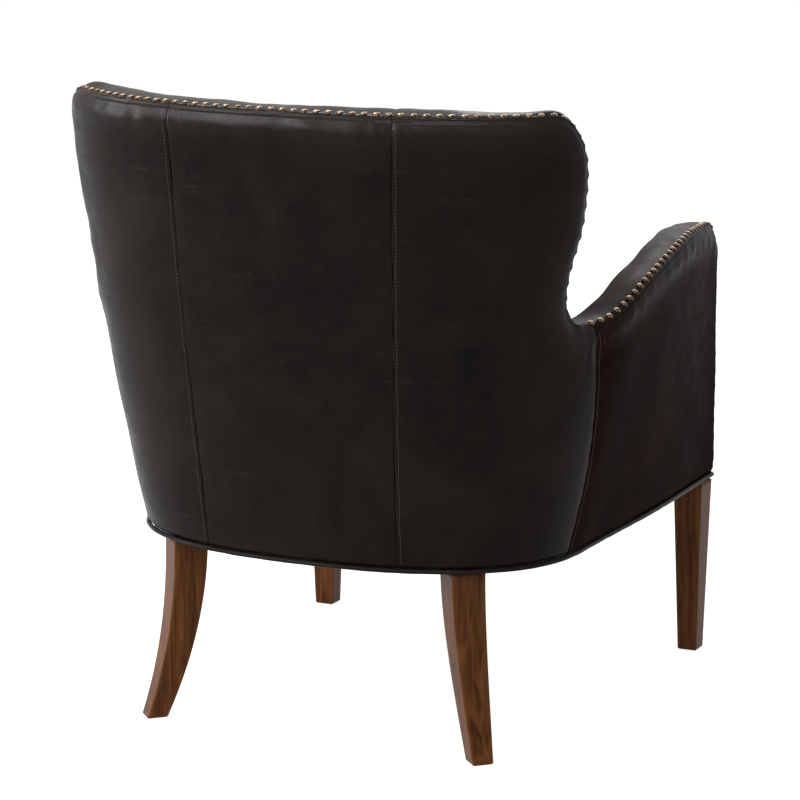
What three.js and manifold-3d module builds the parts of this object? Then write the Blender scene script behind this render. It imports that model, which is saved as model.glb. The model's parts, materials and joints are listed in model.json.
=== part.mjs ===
// Wingback armchair in millimetres, +Z up, front towards -Y, mirror plane X = 0, origin on the floor.
// The sitter's left is +X. A station runs round the shell: 0 left front, 1 left corner, 2 middle of the
// back, 3 right corner, 4 right front.
import * as THREE from "three";
import { mergeVertices } from "three/addons/utils/BufferGeometryUtils.js";
import Module from "manifold-3d";

const wasm = await Module();
wasm.setup();

// Shell: the outer surface of the upholstery
const UNDERSIDE_Z = 245;
const NAIL_TOP_Z = 838;
const FRONT_Y = -376;
const CORNER_Y = 100;
const FRONT_HALF_WIDTH = 306;
// The base is as wide behind as in front, and the sides flare to the top
const BASE_HALF_WIDTH = FRONT_HALF_WIDTH;
const TOP_FLARE = 102;
const SIDE_BOW = 8;
const SIDE_SWELL = 5;
const BASE_BACK_DEPTH = 216;
const TOP_BACK_DEPTH = 276;
const BACK_BOW = 5;
const PLAN_POWER = 2.4;
const TAPER_EASE_SHARE = 0.15;

// Stations, as shares of one side
const CORNER_STATION_SHARE = 1;
const BACK_STATION_SHARE = 2;
const END_STATION_SHARE = 4;
const SLIDE_SHARE = 0.002;

// Clearances
const GAP = 0.3;
const SEAM_GAP = 0.4;
const JOINT_GAP = 0.45;
const FACET_SLACK = 1.6;
const COVER_GAP = 2.6;
const OVERRUN = 5;

// Wing outline, seen from the side
const WING_HEIGHT = 272;
const CROTCH_Z = NAIL_TOP_Z - WING_HEIGHT;
const CROTCH_SETBACK = 105;
const CROTCH_Y = CORNER_Y + CROTCH_SETBACK;
const WING_FRONT_OVERHANG = 26;
const WING_FRONT_Y = CROTCH_Y + WING_FRONT_OVERHANG;
const WING_SETBACK = 44;
const WING_FOOT_GAP = 4;
// [share of the wing's height, share of its setback]
const WING_EDGE_SHARES = [
  [0, -0.3],
  [0.06, 0.02],
  [0.19, 0.18],
  [0.31, 0.14],
  [0.46, 0],
  [0.6, 0.02],
  [0.75, 0.12],
  [0.86, 0.33],
  [0.94, 0.6],
  [1, 0.98],
];

// Arm outline, seen from the side
const ARM_RISE = 57;
// [share of the way from the front to the crotch, share of the rise from the crotch to the peak]
const ARM_LINE_SHARES = [
  [0, 0.5],
  [0.035, 0.73],
  [0.06, 0.81],
  [0.1, 0.87],
  [0.19, 0.94],
  [0.3, 1],
  [0.38, 0.98],
  [0.45, 0.93],
  [0.54, 0.83],
  [0.63, 0.69],
  [0.72, 0.53],
  [0.81, 0.29],
  [0.9, 0.07],
  [0.95, 0.01],
  [1, 0],
];

// Seams
const ARM_SEAM_SETBACK = 46;
const ARM_SEAM_FOOT_Y = CORNER_Y + ARM_SEAM_SETBACK;
const ARM_SEAM_SHIFT = 40;
// [share of the height from the underside to the crotch, share of the shift]
const ARM_SEAM_SHARES = [
  [0, 0],
  [0.16, -0.08],
  [0.33, -0.12],
  [0.5, 0],
  [0.68, 0.28],
  [0.85, 0.64],
  [1, 1],
];
const BACK_SEAM_FOOT_X = 136;
const BACK_SEAM_TOP_X = 159;

// Rim: how the inside covers roll over the top, the wings and the arms
const RIM_RISE = 8;
// [share of the rise, share of the wall's thickness]
const RIM_SHARES = [
  [0, 0],
  [0.5, 0.03],
  [0.85, 0.12],
  [1, 0.36],
  [0.7, 0.66],
  [-0.2, 0.9],
  [-2.4, 1],
];
const ARM_WALL = 60;
const BACK_TOP_WALL = 66;
const BACK_LUMBAR_WALL = 150;
const LUMBAR_DROP = 96;
const LUMBAR_Z = CROTCH_Z - LUMBAR_DROP;
const RETURN_SHARE = 0.62;
const ARM_LEVELS = 4;
const INSIDE_LEVELS = 6;
const WING_LEVELS = 9;
// How fast the padding grows from the arm's wall to the middle of the back
const PAD_POWER = 2.6;
// First ring of the rim that the foam fills
const FOAM_RING = 5;

// Layers
const LEATHER = 2;
const FRAME_INSET = 5;
const FRAME_THICKNESS = 22;
const FOAM_SLACK = 1.2;
const FRAME_BACK = FRAME_INSET + FRAME_THICKNESS;

// Frame
const FRAME_BOTTOM_Z = UNDERSIDE_Z + GAP;
const RAIL_HEIGHT = 70;
const RAIL_TOP_Z = FRAME_BOTTOM_Z + RAIL_HEIGHT;
const FRONT_POST_DEPTH = 44;
const BACK_POST_WIDTH = 46;
const BACK_POST_DEPTH = 31;
const TOP_RAIL_HEIGHT = 58;
const LUMBAR_RAIL_HEIGHT = 50;
const LUMBAR_RAIL_DROP = 66;
const LUMBAR_RAIL_Z = CROTCH_Z - LUMBAR_RAIL_DROP;
const SEAT_REAR_RAIL_INSET = 146;
const SEAT_REAR_RAIL_Y = CORNER_Y + BASE_BACK_DEPTH - SEAT_REAR_RAIL_INSET;
const SEAT_REAR_RAIL_THICKNESS = 24;
const ARM_RAIL_HEIGHT = 42;
const ARM_RAIL_DROP = 5;
const WING_POST_WIDTH = 42;
const BLOCK_HEIGHT = 55;
const BLOCK_LEG = 62;

// Legs
const FRONT_LEG_SIDE_INSET = 17;
const FRONT_LEG_FRONT_INSET = 37.5;
const FRONT_LEG_X = FRONT_HALF_WIDTH - FRONT_LEG_SIDE_INSET;
const FRONT_LEG_Y = FRONT_Y + FRONT_LEG_FRONT_INSET;
const FRONT_LEG_TOP = 42;
const LEG_FOOT = 28;
const REAR_LEG_STATION_SHARE = 1.5268;
const REAR_LEG_INSET = 27.3;
const REAR_LEG_TOP = 46;
const REAR_SPLAY_X = 37.2;
const REAR_SPLAY_Y = 27.9;
const REAR_LEG_ANGLE = Math.PI / 4;
const SPLAY_X_POWER = 1.85;
const SPLAY_Y_POWER = 2.7;
const REAR_TAPER_POWER = 1.5;
const REAR_LEG_STEPS = 10;
const BOLT_RADIUS = 4;
const BOLT_HALF_LENGTH = 32;
const BOLT_SIDES = 10;

// Suspension and seat
const SPRING_COUNT = 4;
const SPRING_PITCH = 118;
const SPRING_WIRE = 1.9;
const SPRING_AMPLITUDE = 24;
const SPRING_WAVES = 6;
const SPRING_STEPS = 48;
const WIRE_SIDES = 5;
const DECK_PAD_THICKNESS = 14;
const DECK_COVER_THICKNESS = 1.6;
const DUST_COVER_THICKNESS = 1;
const DUST_COVER_INSET = 7;

// Welts
const WELT_RADIUS = 3.2;
const WELT_SIDES = 6;
const WELT_INSET = 0.4;
const PANEL_BOTTOM_Z = FRAME_BOTTOM_Z + 2 * WELT_RADIUS + GAP;

// Loose cushion
const CUSHION_SIDE_CLEARANCE = 10;
const CUSHION_HALF_WIDTH = FRONT_HALF_WIDTH - ARM_WALL - CUSHION_SIDE_CLEARANCE;
const CUSHION_SETBACK = 5;
const CUSHION_FRONT_Y = FRONT_Y + CUSHION_SETBACK;
const CUSHION_BACK_CLEARANCE = 9.8;
const CUSHION_REAR_RADIUS = 62;
const SEAT_FLARE_SHARE = 0.05;
const CUSHION_FRONT_RADIUS = 26;
const CUSHION_BOXING_HEIGHT = 100;
const CUSHION_CROWN = 16;
const CUSHION_BELLY = 5;
const CUSHION_SIDE_SWELL = 4;
const CUSHION_SWELL_POWER = 2.4;
const CUSHION_SKIN = 1.6;
const CUSHION_WELT_RADIUS = 3;
const CUSHION_SIDE_STEPS = 6;
const CUSHION_CORNER_STEPS = 5;
const CUSHION_FRONT_CORNER_STEPS = 3;
const CUSHION_RINGS = 4;
const ZIP_HALF_LENGTH = 110;
const ZIP_HEIGHT = 20;
const ZIP_THICKNESS = 1.2;
const SLIDER_LENGTH = 12;
const SLIDER_HEIGHT = 8;
const SLIDER_THICKNESS = 3;

// Nailhead trim
const NAIL_RADIUS = 5.5;
const NAIL_DOME = 3;
const NAIL_PITCH = 14.6;
const NAIL_TAPE_WIDTH = 3.2;
const NAIL_TAPE_THICKNESS = 0.7;
const NAIL_STANDOFF = 0.95;
const NAIL_END = 9;
const NAIL_CROWN_SHARE = 0.5;
const ROLL_DEPTH = 14;
const BACK_NAIL_ANGLE = 0.3;
const WING_NAIL_ANGLE = 1.35;
const ARM_NAIL_ANGLE = 0.35;
const ARM_NAIL_STEPS = 20;

// Facets
const SIDE_COLUMNS = 5;
const CORNER_COLUMNS = 8;
const PANEL_ROWS = 9;
const LOW_PANEL_ROWS = 6;
// A station this close to an end, as a share of a step, is left out
const STATION_SLACK_SHARE = 0.35;
const SQUARE_SIDES = 4;

const COLOURS = {
  leather: 0x2b2320,
  foam: 0xd8cfae,
  wood: 0xb08a5a,
  walnut: 0x50321e,
  brass: 0x8a6a3a,
  steel: 0x8c9094,
  cloth: 0x3a3a3c,
};

const chair = new THREE.Group();
chair.name = "wingback_armchair";

// Smooth value between the rows of a table of shares
function shareCurve(shares, at) {
  const last = shares.length - 1;
  let k = 0;
  while (k < last - 1 && at > shares[k + 1][0]) k += 1;
  const slope = (i, j) => (shares[j][1] - shares[i][1]) / (shares[j][0] - shares[i][0]);
  const span = shares[k + 1][0] - shares[k][0];
  const t = Math.min(Math.max((at - shares[k][0]) / span, 0), 1);
  const start = slope(Math.max(k - 1, 0), k + 1) * span;
  const end = slope(k, Math.min(k + 2, last)) * span;
  const rest = 1 - t;
  const from = shares[k][1] * (1 + 2 * t) * rest * rest + start * t * rest * rest;
  return from + shares[k + 1][1] * t * t * (3 - 2 * t) - end * t * t * rest;
}

function heightShare(z) {
  return (z - UNDERSIDE_Z) / (NAIL_TOP_Z - UNDERSIDE_Z);
}

function grown(base, top, bow, z) {
  const t = heightShare(z);
  return base + (top - base) * t + bow * 4 * t * (1 - t);
}

const halfWidth = (z) => grown(BASE_HALF_WIDTH, BASE_HALF_WIDTH + TOP_FLARE, SIDE_BOW, z);
const backDepth = (z) => grown(BASE_BACK_DEPTH, TOP_BACK_DEPTH, BACK_BOW, z);

// A point of the shell, drawn in by one inset at the sides and another at the back
function shellPoint(station, z, sideInset = 0, backInset = sideInset) {
  const mirrored = station > BACK_STATION_SHARE;
  const along = mirrored ? END_STATION_SHARE - station : station;
  let x = 0;
  let y = 0;
  if (along <= CORNER_STATION_SHARE) {
    const s = CORNER_STATION_SHARE - along;
    const taper = (s * s * (1 + TAPER_EASE_SHARE)) / (s + TAPER_EASE_SHARE);
    const swell = SIDE_SWELL * Math.sin(Math.PI * s) ** 2;
    x = halfWidth(z) + (FRONT_HALF_WIDTH - halfWidth(z)) * taper + swell - sideInset;
    y = CORNER_Y + (FRONT_Y - CORNER_Y) * s;
  } else {
    const turn = ((along - CORNER_STATION_SHARE) * Math.PI) / 2;
    x = (halfWidth(z) - sideInset) * Math.max(Math.cos(turn), 0) ** (2 / PLAN_POWER);
    y = CORNER_Y + (backDepth(z) - backInset) * Math.sin(turn) ** (2 / PLAN_POWER);
  }
  return new THREE.Vector3(mirrored ? -x : x, y, z);
}

// Station on the left half where the shell passes a given y, or a given x
function stationAtY(y, z, inset = 0) {
  if (y <= CORNER_Y) return (CORNER_STATION_SHARE * (y - FRONT_Y)) / (CORNER_Y - FRONT_Y);
  const share = Math.min((y - CORNER_Y) / (backDepth(z) - inset), 1);
  return CORNER_STATION_SHARE + (Math.asin(share ** (PLAN_POWER / 2)) * 2) / Math.PI;
}

function stationAtX(x, z) {
  return CORNER_STATION_SHARE + (Math.acos((x / halfWidth(z)) ** (PLAN_POWER / 2)) * 2) / Math.PI;
}

// Moves a station along the shell by a length
function slideStation(station, z, length) {
  const ahead = shellPoint(station + SLIDE_SHARE, z);
  const speed = ahead.distanceTo(shellPoint(station - SLIDE_SHARE, z)) / (2 * SLIDE_SHARE);
  return station + length / speed;
}

// Outlines
function wingEdgeY(z) {
  const share = Math.min(Math.max((z - CROTCH_Z) / (NAIL_TOP_Z - CROTCH_Z), 0), 1);
  return WING_FRONT_Y + WING_SETBACK * shareCurve(WING_EDGE_SHARES, share);
}

function armLineZ(y) {
  const share = (y - FRONT_Y) / (CROTCH_Y - FRONT_Y);
  return CROTCH_Z + ARM_RISE * shareCurve(ARM_LINE_SHARES, Math.min(share, 1));
}

function armSeamY(z) {
  const share = (z - UNDERSIDE_Z) / (CROTCH_Z - UNDERSIDE_Z);
  return ARM_SEAM_FOOT_Y + ARM_SEAM_SHIFT * shareCurve(ARM_SEAM_SHARES, share);
}

function backSeamX(z) {
  return BACK_SEAM_FOOT_X + (BACK_SEAM_TOP_X - BACK_SEAM_FOOT_X) * heightShare(z);
}

// Where the arm's cover meets the inside back's
const JOINT_STATION = stationAtY(CROTCH_Y, CROTCH_Z);

// Point of the inside surface, or of the roll that leads to it, by its share of the wall's thickness:
// the wall is as thick as the arm's up to the joint, and grows to the padded middle of the back
function insidePoint(station, z, share) {
  const lean = Math.min(Math.max((NAIL_TOP_Z - z) / (NAIL_TOP_Z - LUMBAR_Z), 0), 1);
  const eased = lean * lean * (3 - 2 * lean);
  const middle = BACK_TOP_WALL + (BACK_LUMBAR_WALL - BACK_TOP_WALL) * eased;
  const along = station > BACK_STATION_SHARE ? END_STATION_SHARE - station : station;
  const beyond = Math.min(Math.max((along - JOINT_STATION) / (BACK_STATION_SHARE - JOINT_STATION), 0), 1);
  const padded = ARM_WALL + (middle - ARM_WALL) * (1 - (1 - beyond) ** PAD_POWER);
  return shellPoint(station, z, ARM_WALL * share, padded * share);
}

// Builds one closed body from points and triangles, and turns it outward
function closedGeometry(points, triangles) {
  let volume = 0;
  for (const [a, b, c] of triangles) {
    volume += points[a].dot(new THREE.Vector3().crossVectors(points[b], points[c]));
  }
  const index = volume > 0 ? triangles.flat() : triangles.flatMap(([a, b, c]) => [a, c, b]);
  const geometry = new THREE.BufferGeometry();
  const values = points.flatMap((point) => point.toArray());
  geometry.setAttribute("position", new THREE.Float32BufferAttribute(values, 3));
  geometry.setIndex(index);
  return geometry;
}

// Closed sheet between two grids of points with the same rows and columns
function sheetGeometry(outer, inner) {
  const columns = outer.length;
  const rows = outer[0].length;
  const points = [...outer.flat(), ...inner.flat()];
  const shift = columns * rows;
  const triangles = [];
  const at = (i, j, side) => i * rows + j + side * shift;
  for (let i = 0; i < columns - 1; i += 1) {
    for (let j = 0; j < rows - 1; j += 1) {
      triangles.push([at(i, j, 0), at(i + 1, j, 0), at(i + 1, j + 1, 0)]);
      triangles.push([at(i, j, 0), at(i + 1, j + 1, 0), at(i, j + 1, 0)]);
      triangles.push([at(i, j, 1), at(i + 1, j + 1, 1), at(i + 1, j, 1)]);
      triangles.push([at(i, j, 1), at(i, j + 1, 1), at(i + 1, j + 1, 1)]);
    }
  }
  const rim = [];
  for (let i = 0; i < columns; i += 1) rim.push([i, 0]);
  for (let j = 1; j < rows; j += 1) rim.push([columns - 1, j]);
  for (let i = columns - 2; i >= 0; i -= 1) rim.push([i, rows - 1]);
  for (let j = rows - 2; j > 0; j -= 1) rim.push([0, j]);
  rim.forEach(([i, j], k) => {
    const [m, n] = rim[(k + 1) % rim.length];
    triangles.push([at(i, j, 0), at(i, j, 1), at(m, n, 1)]);
    triangles.push([at(i, j, 0), at(m, n, 1), at(m, n, 0)]);
  });
  return closedGeometry(points, triangles);
}

// A section's points in its own plane
function flattened(section) {
  const normal = new THREE.Vector3();
  section.forEach((point, k) => {
    normal.add(new THREE.Vector3().crossVectors(point, section[(k + 1) % section.length]));
  });
  normal.normalize();
  const across = section[1].clone().sub(section[0]);
  across.addScaledVector(normal, -across.dot(normal)).normalize();
  const up = new THREE.Vector3().crossVectors(normal, across);
  return section.map((point) => new THREE.Vector2(point.dot(across), point.dot(up)));
}

// Closed body through a row of sections with the same number of points; a loop has no end caps
function sweptGeometry(sections, loop = false) {
  const sides = sections[0].length;
  const points = sections.flat();
  const triangles = [];
  const steps = loop ? sections.length : sections.length - 1;
  for (let i = 0; i < steps; i += 1) {
    const next = (i + 1) % sections.length;
    for (let k = 0; k < sides; k += 1) {
      const beside = (k + 1) % sides;
      triangles.push([i * sides + k, i * sides + beside, next * sides + beside]);
      triangles.push([i * sides + k, next * sides + beside, next * sides + k]);
    }
  }
  if (!loop) {
    const caps = THREE.ShapeUtils.triangulateShape(flattened(sections[0]), []);
    const follows = (a, b) => b === (a + 1) % sides;
    const forward = caps.some(([a, b, c]) => follows(a, b) || follows(b, c) || follows(c, a));
    const end = (sections.length - 1) * sides;
    for (const [a, b, c] of caps) {
      const [p, q] = forward ? [c, b] : [b, c];
      triangles.push([a, p, q]);
      triangles.push([end + a, end + q, end + p]);
    }
  }
  return closedGeometry(points, triangles);
}

// Points of an open surface, moved by a length against its normals
function sunkPoints(points, triangles, length) {
  const normals = points.map(() => new THREE.Vector3());
  for (const triangle of triangles) {
    const [a, b, c] = triangle.map((k) => points[k]);
    const face = new THREE.Vector3().crossVectors(b.clone().sub(a), c.clone().sub(a));
    triangle.forEach((k) => normals[k].add(face));
  }
  return points.map((p, k) => p.clone().addScaledVector(normals[k].normalize(), -length));
}

// Closed body between an open surface and its other side, which has the same triangles
function layerGeometry(points, back, triangles) {
  const edges = new Map();
  for (const triangle of triangles) {
    triangle.forEach((k, n) => {
      const next = triangle[(n + 1) % triangle.length];
      edges.set(`${k},${next}`, [k, next]);
    });
  }
  const shift = points.length;
  const closed = [...triangles, ...triangles.map(([a, b, c]) => [a + shift, c + shift, b + shift])];
  for (const [a, b] of edges.values()) {
    if (edges.has(`${b},${a}`)) continue;
    closed.push([a, a + shift, b + shift]);
    closed.push([a, b + shift, b]);
  }
  return closedGeometry([...points, ...back], closed);
}

function skinGeometry(points, triangles, thickness) {
  return layerGeometry(points, sunkPoints(points, triangles, thickness), triangles);
}

function solidOf(geometry) {
  const bare = new THREE.BufferGeometry();
  const whole = geometry.index ? geometry : mergeVertices(geometry);
  bare.setAttribute("position", whole.getAttribute("position"));
  bare.setIndex(whole.index);
  const merged = mergeVertices(bare);
  const mesh = new wasm.Mesh({
    numProp: 3,
    vertProperties: new Float32Array(merged.attributes.position.array),
    triVerts: new Uint32Array(merged.index.array),
  });
  return new wasm.Manifold(mesh);
}

function geometryOf(solid) {
  const mesh = solid.getMesh();
  const geometry = new THREE.BufferGeometry();
  geometry.setAttribute("position", new THREE.BufferAttribute(new Float32Array(mesh.vertProperties), 3));
  geometry.setIndex(new THREE.BufferAttribute(new Uint32Array(mesh.triVerts), 1));
  return geometry;
}

function addNode(name, geometry, colour) {
  const shaded = geometry.index ? geometry.toNonIndexed() : geometry;
  shaded.deleteAttribute("normal");
  shaded.computeVertexNormals();
  const mesh = new THREE.Mesh(shaded, new THREE.MeshStandardMaterial({ color: COLOURS[colour] }));
  mesh.name = name;
  chair.add(mesh);
}

// Adds a node on the left and its mirror image on the right
function addPair(start, end, geometry, colour) {
  addNode(`${start}left${end}`, geometry, colour);
  const mirrored = geometry.index ? geometry.toNonIndexed() : geometry.clone();
  mirrored.applyMatrix4(new THREE.Matrix4().makeScale(-1, 1, 1));
  const place = mirrored.getAttribute("position");
  for (let k = 0; k < place.count; k += 3) {
    const held = [place.getX(k), place.getY(k), place.getZ(k)];
    place.setXYZ(k, place.getX(k + 1), place.getY(k + 1), place.getZ(k + 1));
    place.setXYZ(k + 1, ...held);
  }
  addNode(`${start}right${end}`, mirrored, colour);
}

// Stations of the common grid between two stations, with both ends
function stationsBetween(from, to) {
  const grid = [];
  for (let k = 0; k <= SIDE_COLUMNS; k += 1) grid.push((k * CORNER_STATION_SHARE) / SIDE_COLUMNS);
  for (let k = 1; k <= CORNER_COLUMNS; k += 1) grid.push(CORNER_STATION_SHARE + k / CORNER_COLUMNS);
  const whole = [...grid, ...grid.slice(0, -1).reverse().map((s) => END_STATION_SHARE - s)];
  const slack = STATION_SLACK_SHARE / CORNER_COLUMNS;
  return [from, ...whole.filter((s) => s > from + slack && s < to - slack), to];
}

// Stations along the arm, which has a finer grid
function armStations(to) {
  const half = stationsBetween(0, to);
  return half.flatMap((station, k) => (k === 0 ? [station] : [(half[k - 1] + station) / 2, station]));
}

function spread(from, to, count) {
  return Array.from({ length: count + 1 }, (_, k) => from + ((to - from) * k) / count);
}

// A board that follows the shell, with a profile of [inset, height] points at each station
function railGeometry(stations, profileAt) {
  const place = (station) => profileAt(station).map(([inset, z]) => shellPoint(station, z, inset));
  return sweptGeometry(stations.map(place));
}

function plainProfile(bottom, top) {
  return () => [
    [FRAME_INSET, bottom],
    [FRAME_BACK, bottom],
    [FRAME_BACK, top],
    [FRAME_INSET, top],
  ];
}

// A post that follows the shell between two edges, which are given at each height
function postGeometry(edgesAt, bottom, top, outerInset, innerInset) {
  const sections = spread(bottom, top, Math.max(Math.round((top - bottom) / RAIL_HEIGHT), 1)).map((z) => {
    const [from, to] = edgesAt(z);
    return [
      shellPoint(from, z, outerInset),
      shellPoint(to, z, outerInset),
      shellPoint(to, z, innerInset),
      shellPoint(from, z, innerInset),
    ];
  });
  return sweptGeometry(sections);
}

// A sheet of leather on the shell between two edges, from row to row
function panelGeometry(frontAt, rearAt, columns, rows) {
  const grid = (inset) =>
    spread(0, 1, columns).map((across) =>
      rows.map((row) => {
        const z = typeof row === "function" ? row(across) : row;
        const from = frontAt(z);
        return shellPoint(from + (rearAt(z) - from) * across, z, inset);
      }),
    );
  return sheetGeometry(grid(0), grid(LEATHER));
}

function tubeSection(centre, along, up, radius, sides) {
  const side = new THREE.Vector3().crossVectors(along, up).normalize();
  const over = new THREE.Vector3().crossVectors(side, along).normalize();
  return spread(0, 2 * Math.PI, sides).slice(0, sides).map((turn) => {
    const point = centre.clone().addScaledVector(side, radius * Math.cos(turn));
    return point.addScaledVector(over, radius * Math.sin(turn));
  });
}

const UP = new THREE.Vector3(0, 0, 1);

function loopTube(path, radius, sides) {
  const sections = path.map((centre, k) => {
    const before = path[(k + path.length - 1) % path.length];
    const along = path[(k + 1) % path.length].clone().sub(before).normalize();
    return tubeSection(centre, along, UP, radius, sides);
  });
  return sweptGeometry(sections, true);
}

function boxGeometry(low, high) {
  const size = high.map((value, k) => value - low[k]);
  const box = new THREE.BoxGeometry(...size);
  box.translate(...low.map((value, k) => value + size[k] / 2));
  box.deleteAttribute("normal");
  box.deleteAttribute("uv");
  return mergeVertices(box);
}

function prismGeometry(outline, bottom, top) {
  const at = (z) => outline.map(([x, y]) => new THREE.Vector3(x, y, z));
  return sweptGeometry([at(bottom), at(top)]);
}

function boltShaft(x, y, radius, bottom, top) {
  const sideways = new THREE.Vector3(0, 1, 0);
  const ring = (z) => tubeSection(new THREE.Vector3(x, y, z), UP, sideways, radius, BOLT_SIDES);
  return sweptGeometry([ring(bottom), ring(top)]);
}

function boredGeometry(geometry, x, y, bottom, top) {
  const hole = solidOf(boltShaft(x, y, BOLT_RADIUS + GAP, bottom, top));
  return geometryOf(solidOf(geometry).subtract(hole));
}

// Frame
const POST_TOP_Z = NAIL_TOP_Z - TOP_RAIL_HEIGHT - GAP;
const REAR_LEG_TOP_PLACE = shellPoint(REAR_LEG_STATION_SHARE, UNDERSIDE_Z, REAR_LEG_INSET);
const REAR_LEG_X = REAR_LEG_TOP_PLACE.x;
const REAR_LEG_Y = REAR_LEG_TOP_PLACE.y;
const FRONT_POST_END_Y = FRONT_Y + FRAME_INSET + FRONT_POST_DEPTH;
const FRONT_RAIL_BACK_Y = FRONT_Y + FRAME_INSET + FRAME_THICKNESS;
const FRAME_START = stationAtY(FRONT_Y + FRAME_INSET, UNDERSIDE_Z);

function backPostEdges(z) {
  const half = BACK_POST_WIDTH / 2;
  return [slideStation(REAR_LEG_STATION_SHARE, z, -half), slideStation(REAR_LEG_STATION_SHARE, z, half)];
}

function armRailTop(station) {
  return armLineZ(Math.min(shellPoint(station, CROTCH_Z).y, CROTCH_Y)) - ARM_RAIL_DROP;
}

// Clear of the side rail's inner face at a place along it
function railInnerX(y) {
  const station = stationAtY(y, UNDERSIDE_Z, FRAME_BACK);
  return shellPoint(station, UNDERSIDE_Z, FRAME_BACK).x - FACET_SLACK;
}

function buildRails() {
  const postFront = backPostEdges(UNDERSIDE_Z)[0];
  const postRear = backPostEdges(UNDERSIDE_Z)[1];
  const clear = (station, length) => slideStation(station, UNDERSIDE_Z, length);
  const base = plainProfile(FRAME_BOTTOM_Z, RAIL_TOP_Z);
  const sideFrom = stationAtY(FRONT_POST_END_Y + GAP, UNDERSIDE_Z);
  const sideStations = stationsBetween(sideFrom, clear(postFront, -JOINT_GAP));
  addPair("", "_side_rail", railGeometry(sideStations, base), "wood");
  const rearFrom = clear(postRear, JOINT_GAP);
  const rearStations = stationsBetween(rearFrom, END_STATION_SHARE - rearFrom);
  addNode("back_base_rail", railGeometry(rearStations, base), "wood");

  const lumbarFrom = slideStation(backPostEdges(LUMBAR_RAIL_Z)[1], LUMBAR_RAIL_Z, JOINT_GAP);
  const lumbar = plainProfile(LUMBAR_RAIL_Z, LUMBAR_RAIL_Z + LUMBAR_RAIL_HEIGHT);
  const lumbarStations = stationsBetween(lumbarFrom, END_STATION_SHARE - lumbarFrom);
  addNode("lumbar_rail", railGeometry(lumbarStations, lumbar), "wood");

  const topEnd = stationAtY(wingEdgeY(NAIL_TOP_Z) + FRAME_INSET + GAP, NAIL_TOP_Z, FRAME_INSET);
  const crown = NAIL_TOP_Z + RIM_RISE - LEATHER - FACET_SLACK;
  const topProfile = () => [
    [FRAME_INSET, NAIL_TOP_Z - TOP_RAIL_HEIGHT],
    [FRAME_BACK, NAIL_TOP_Z - TOP_RAIL_HEIGHT],
    [FRAME_BACK, crown - 2 * GAP],
    [FRAME_INSET + RIM_RISE, crown - LEATHER],
    [FRAME_INSET, NAIL_TOP_Z - RIM_RISE / 2],
  ];
  const topStations = stationsBetween(topEnd, END_STATION_SHARE - topEnd);
  addNode("back_top_rail", railGeometry(topStations, topProfile), "wood");

  const railHalf = FRONT_HALF_WIDTH - FRAME_BACK - GAP;
  const frontRail = boxGeometry(
    [-railHalf, FRONT_Y + FRAME_INSET, FRAME_BOTTOM_Z],
    [railHalf, FRONT_RAIL_BACK_Y, RAIL_TOP_Z],
  );
  addNode("front_rail", frontRail, "wood");
  const rearRailBack = SEAT_REAR_RAIL_Y + SEAT_REAR_RAIL_THICKNESS;
  const outline = [
    [-railInnerX(SEAT_REAR_RAIL_Y), SEAT_REAR_RAIL_Y],
    [railInnerX(SEAT_REAR_RAIL_Y), SEAT_REAR_RAIL_Y],
    [railInnerX(rearRailBack), rearRailBack],
    [-railInnerX(rearRailBack), rearRailBack],
  ];
  addNode("seat_rear_rail", prismGeometry(outline, FRAME_BOTTOM_Z, RAIL_TOP_Z), "wood");
}

function buildPosts() {
  const postBack = FRAME_INSET + BACK_POST_DEPTH;
  const backPost = postGeometry(backPostEdges, FRAME_BOTTOM_Z, POST_TOP_Z, FRAME_INSET, postBack);
  const rearHoleTop = UNDERSIDE_Z + BOLT_HALF_LENGTH + GAP;
  const bored = boredGeometry(backPost, REAR_LEG_X, REAR_LEG_Y, UNDERSIDE_Z, rearHoleTop);
  addPair("back_", "_post", bored, "wood");

  const frontTop = armRailTop(FRAME_START) - ARM_RAIL_HEIGHT - GAP;
  const frontEdges = (z) => [FRAME_START, stationAtY(FRONT_POST_END_Y, z)];
  const frontPost = postGeometry(frontEdges, FRAME_BOTTOM_Z, frontTop, FRAME_INSET, FRAME_BACK);
  const boredFront = boredGeometry(frontPost, FRONT_LEG_X, FRONT_LEG_Y, UNDERSIDE_Z, rearHoleTop);
  addPair("front_", "_post", boredFront, "wood");

  const armTo = slideStation(backPostEdges(CROTCH_Z)[0], CROTCH_Z, -FACET_SLACK);
  const armProfile = (station) => {
    const top = armRailTop(station);
    return [
      [FRAME_INSET, top - ARM_RAIL_HEIGHT],
      [FRAME_BACK, top - ARM_RAIL_HEIGHT],
      [FRAME_BACK, top],
      [FRAME_INSET, top],
    ];
  };
  const armRailStations = [FRAME_START, ...armStations(armTo).slice(1)];
  addPair("arm_", "_rail", railGeometry(armRailStations, armProfile), "wood");

  const wingFoot = CROTCH_Z - ARM_RAIL_DROP + GAP;
  const wingEdges = (z) => {
    const from = slideStation(stationAtY(wingEdgeY(z), z), z, FRAME_INSET);
    return [from, slideStation(from, z, WING_POST_WIDTH)];
  };
  const wingPost = postGeometry(wingEdges, wingFoot, POST_TOP_Z, FRAME_INSET, FRAME_BACK);
  addPair("wing_", "_post", wingPost, "wood");
}

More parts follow.
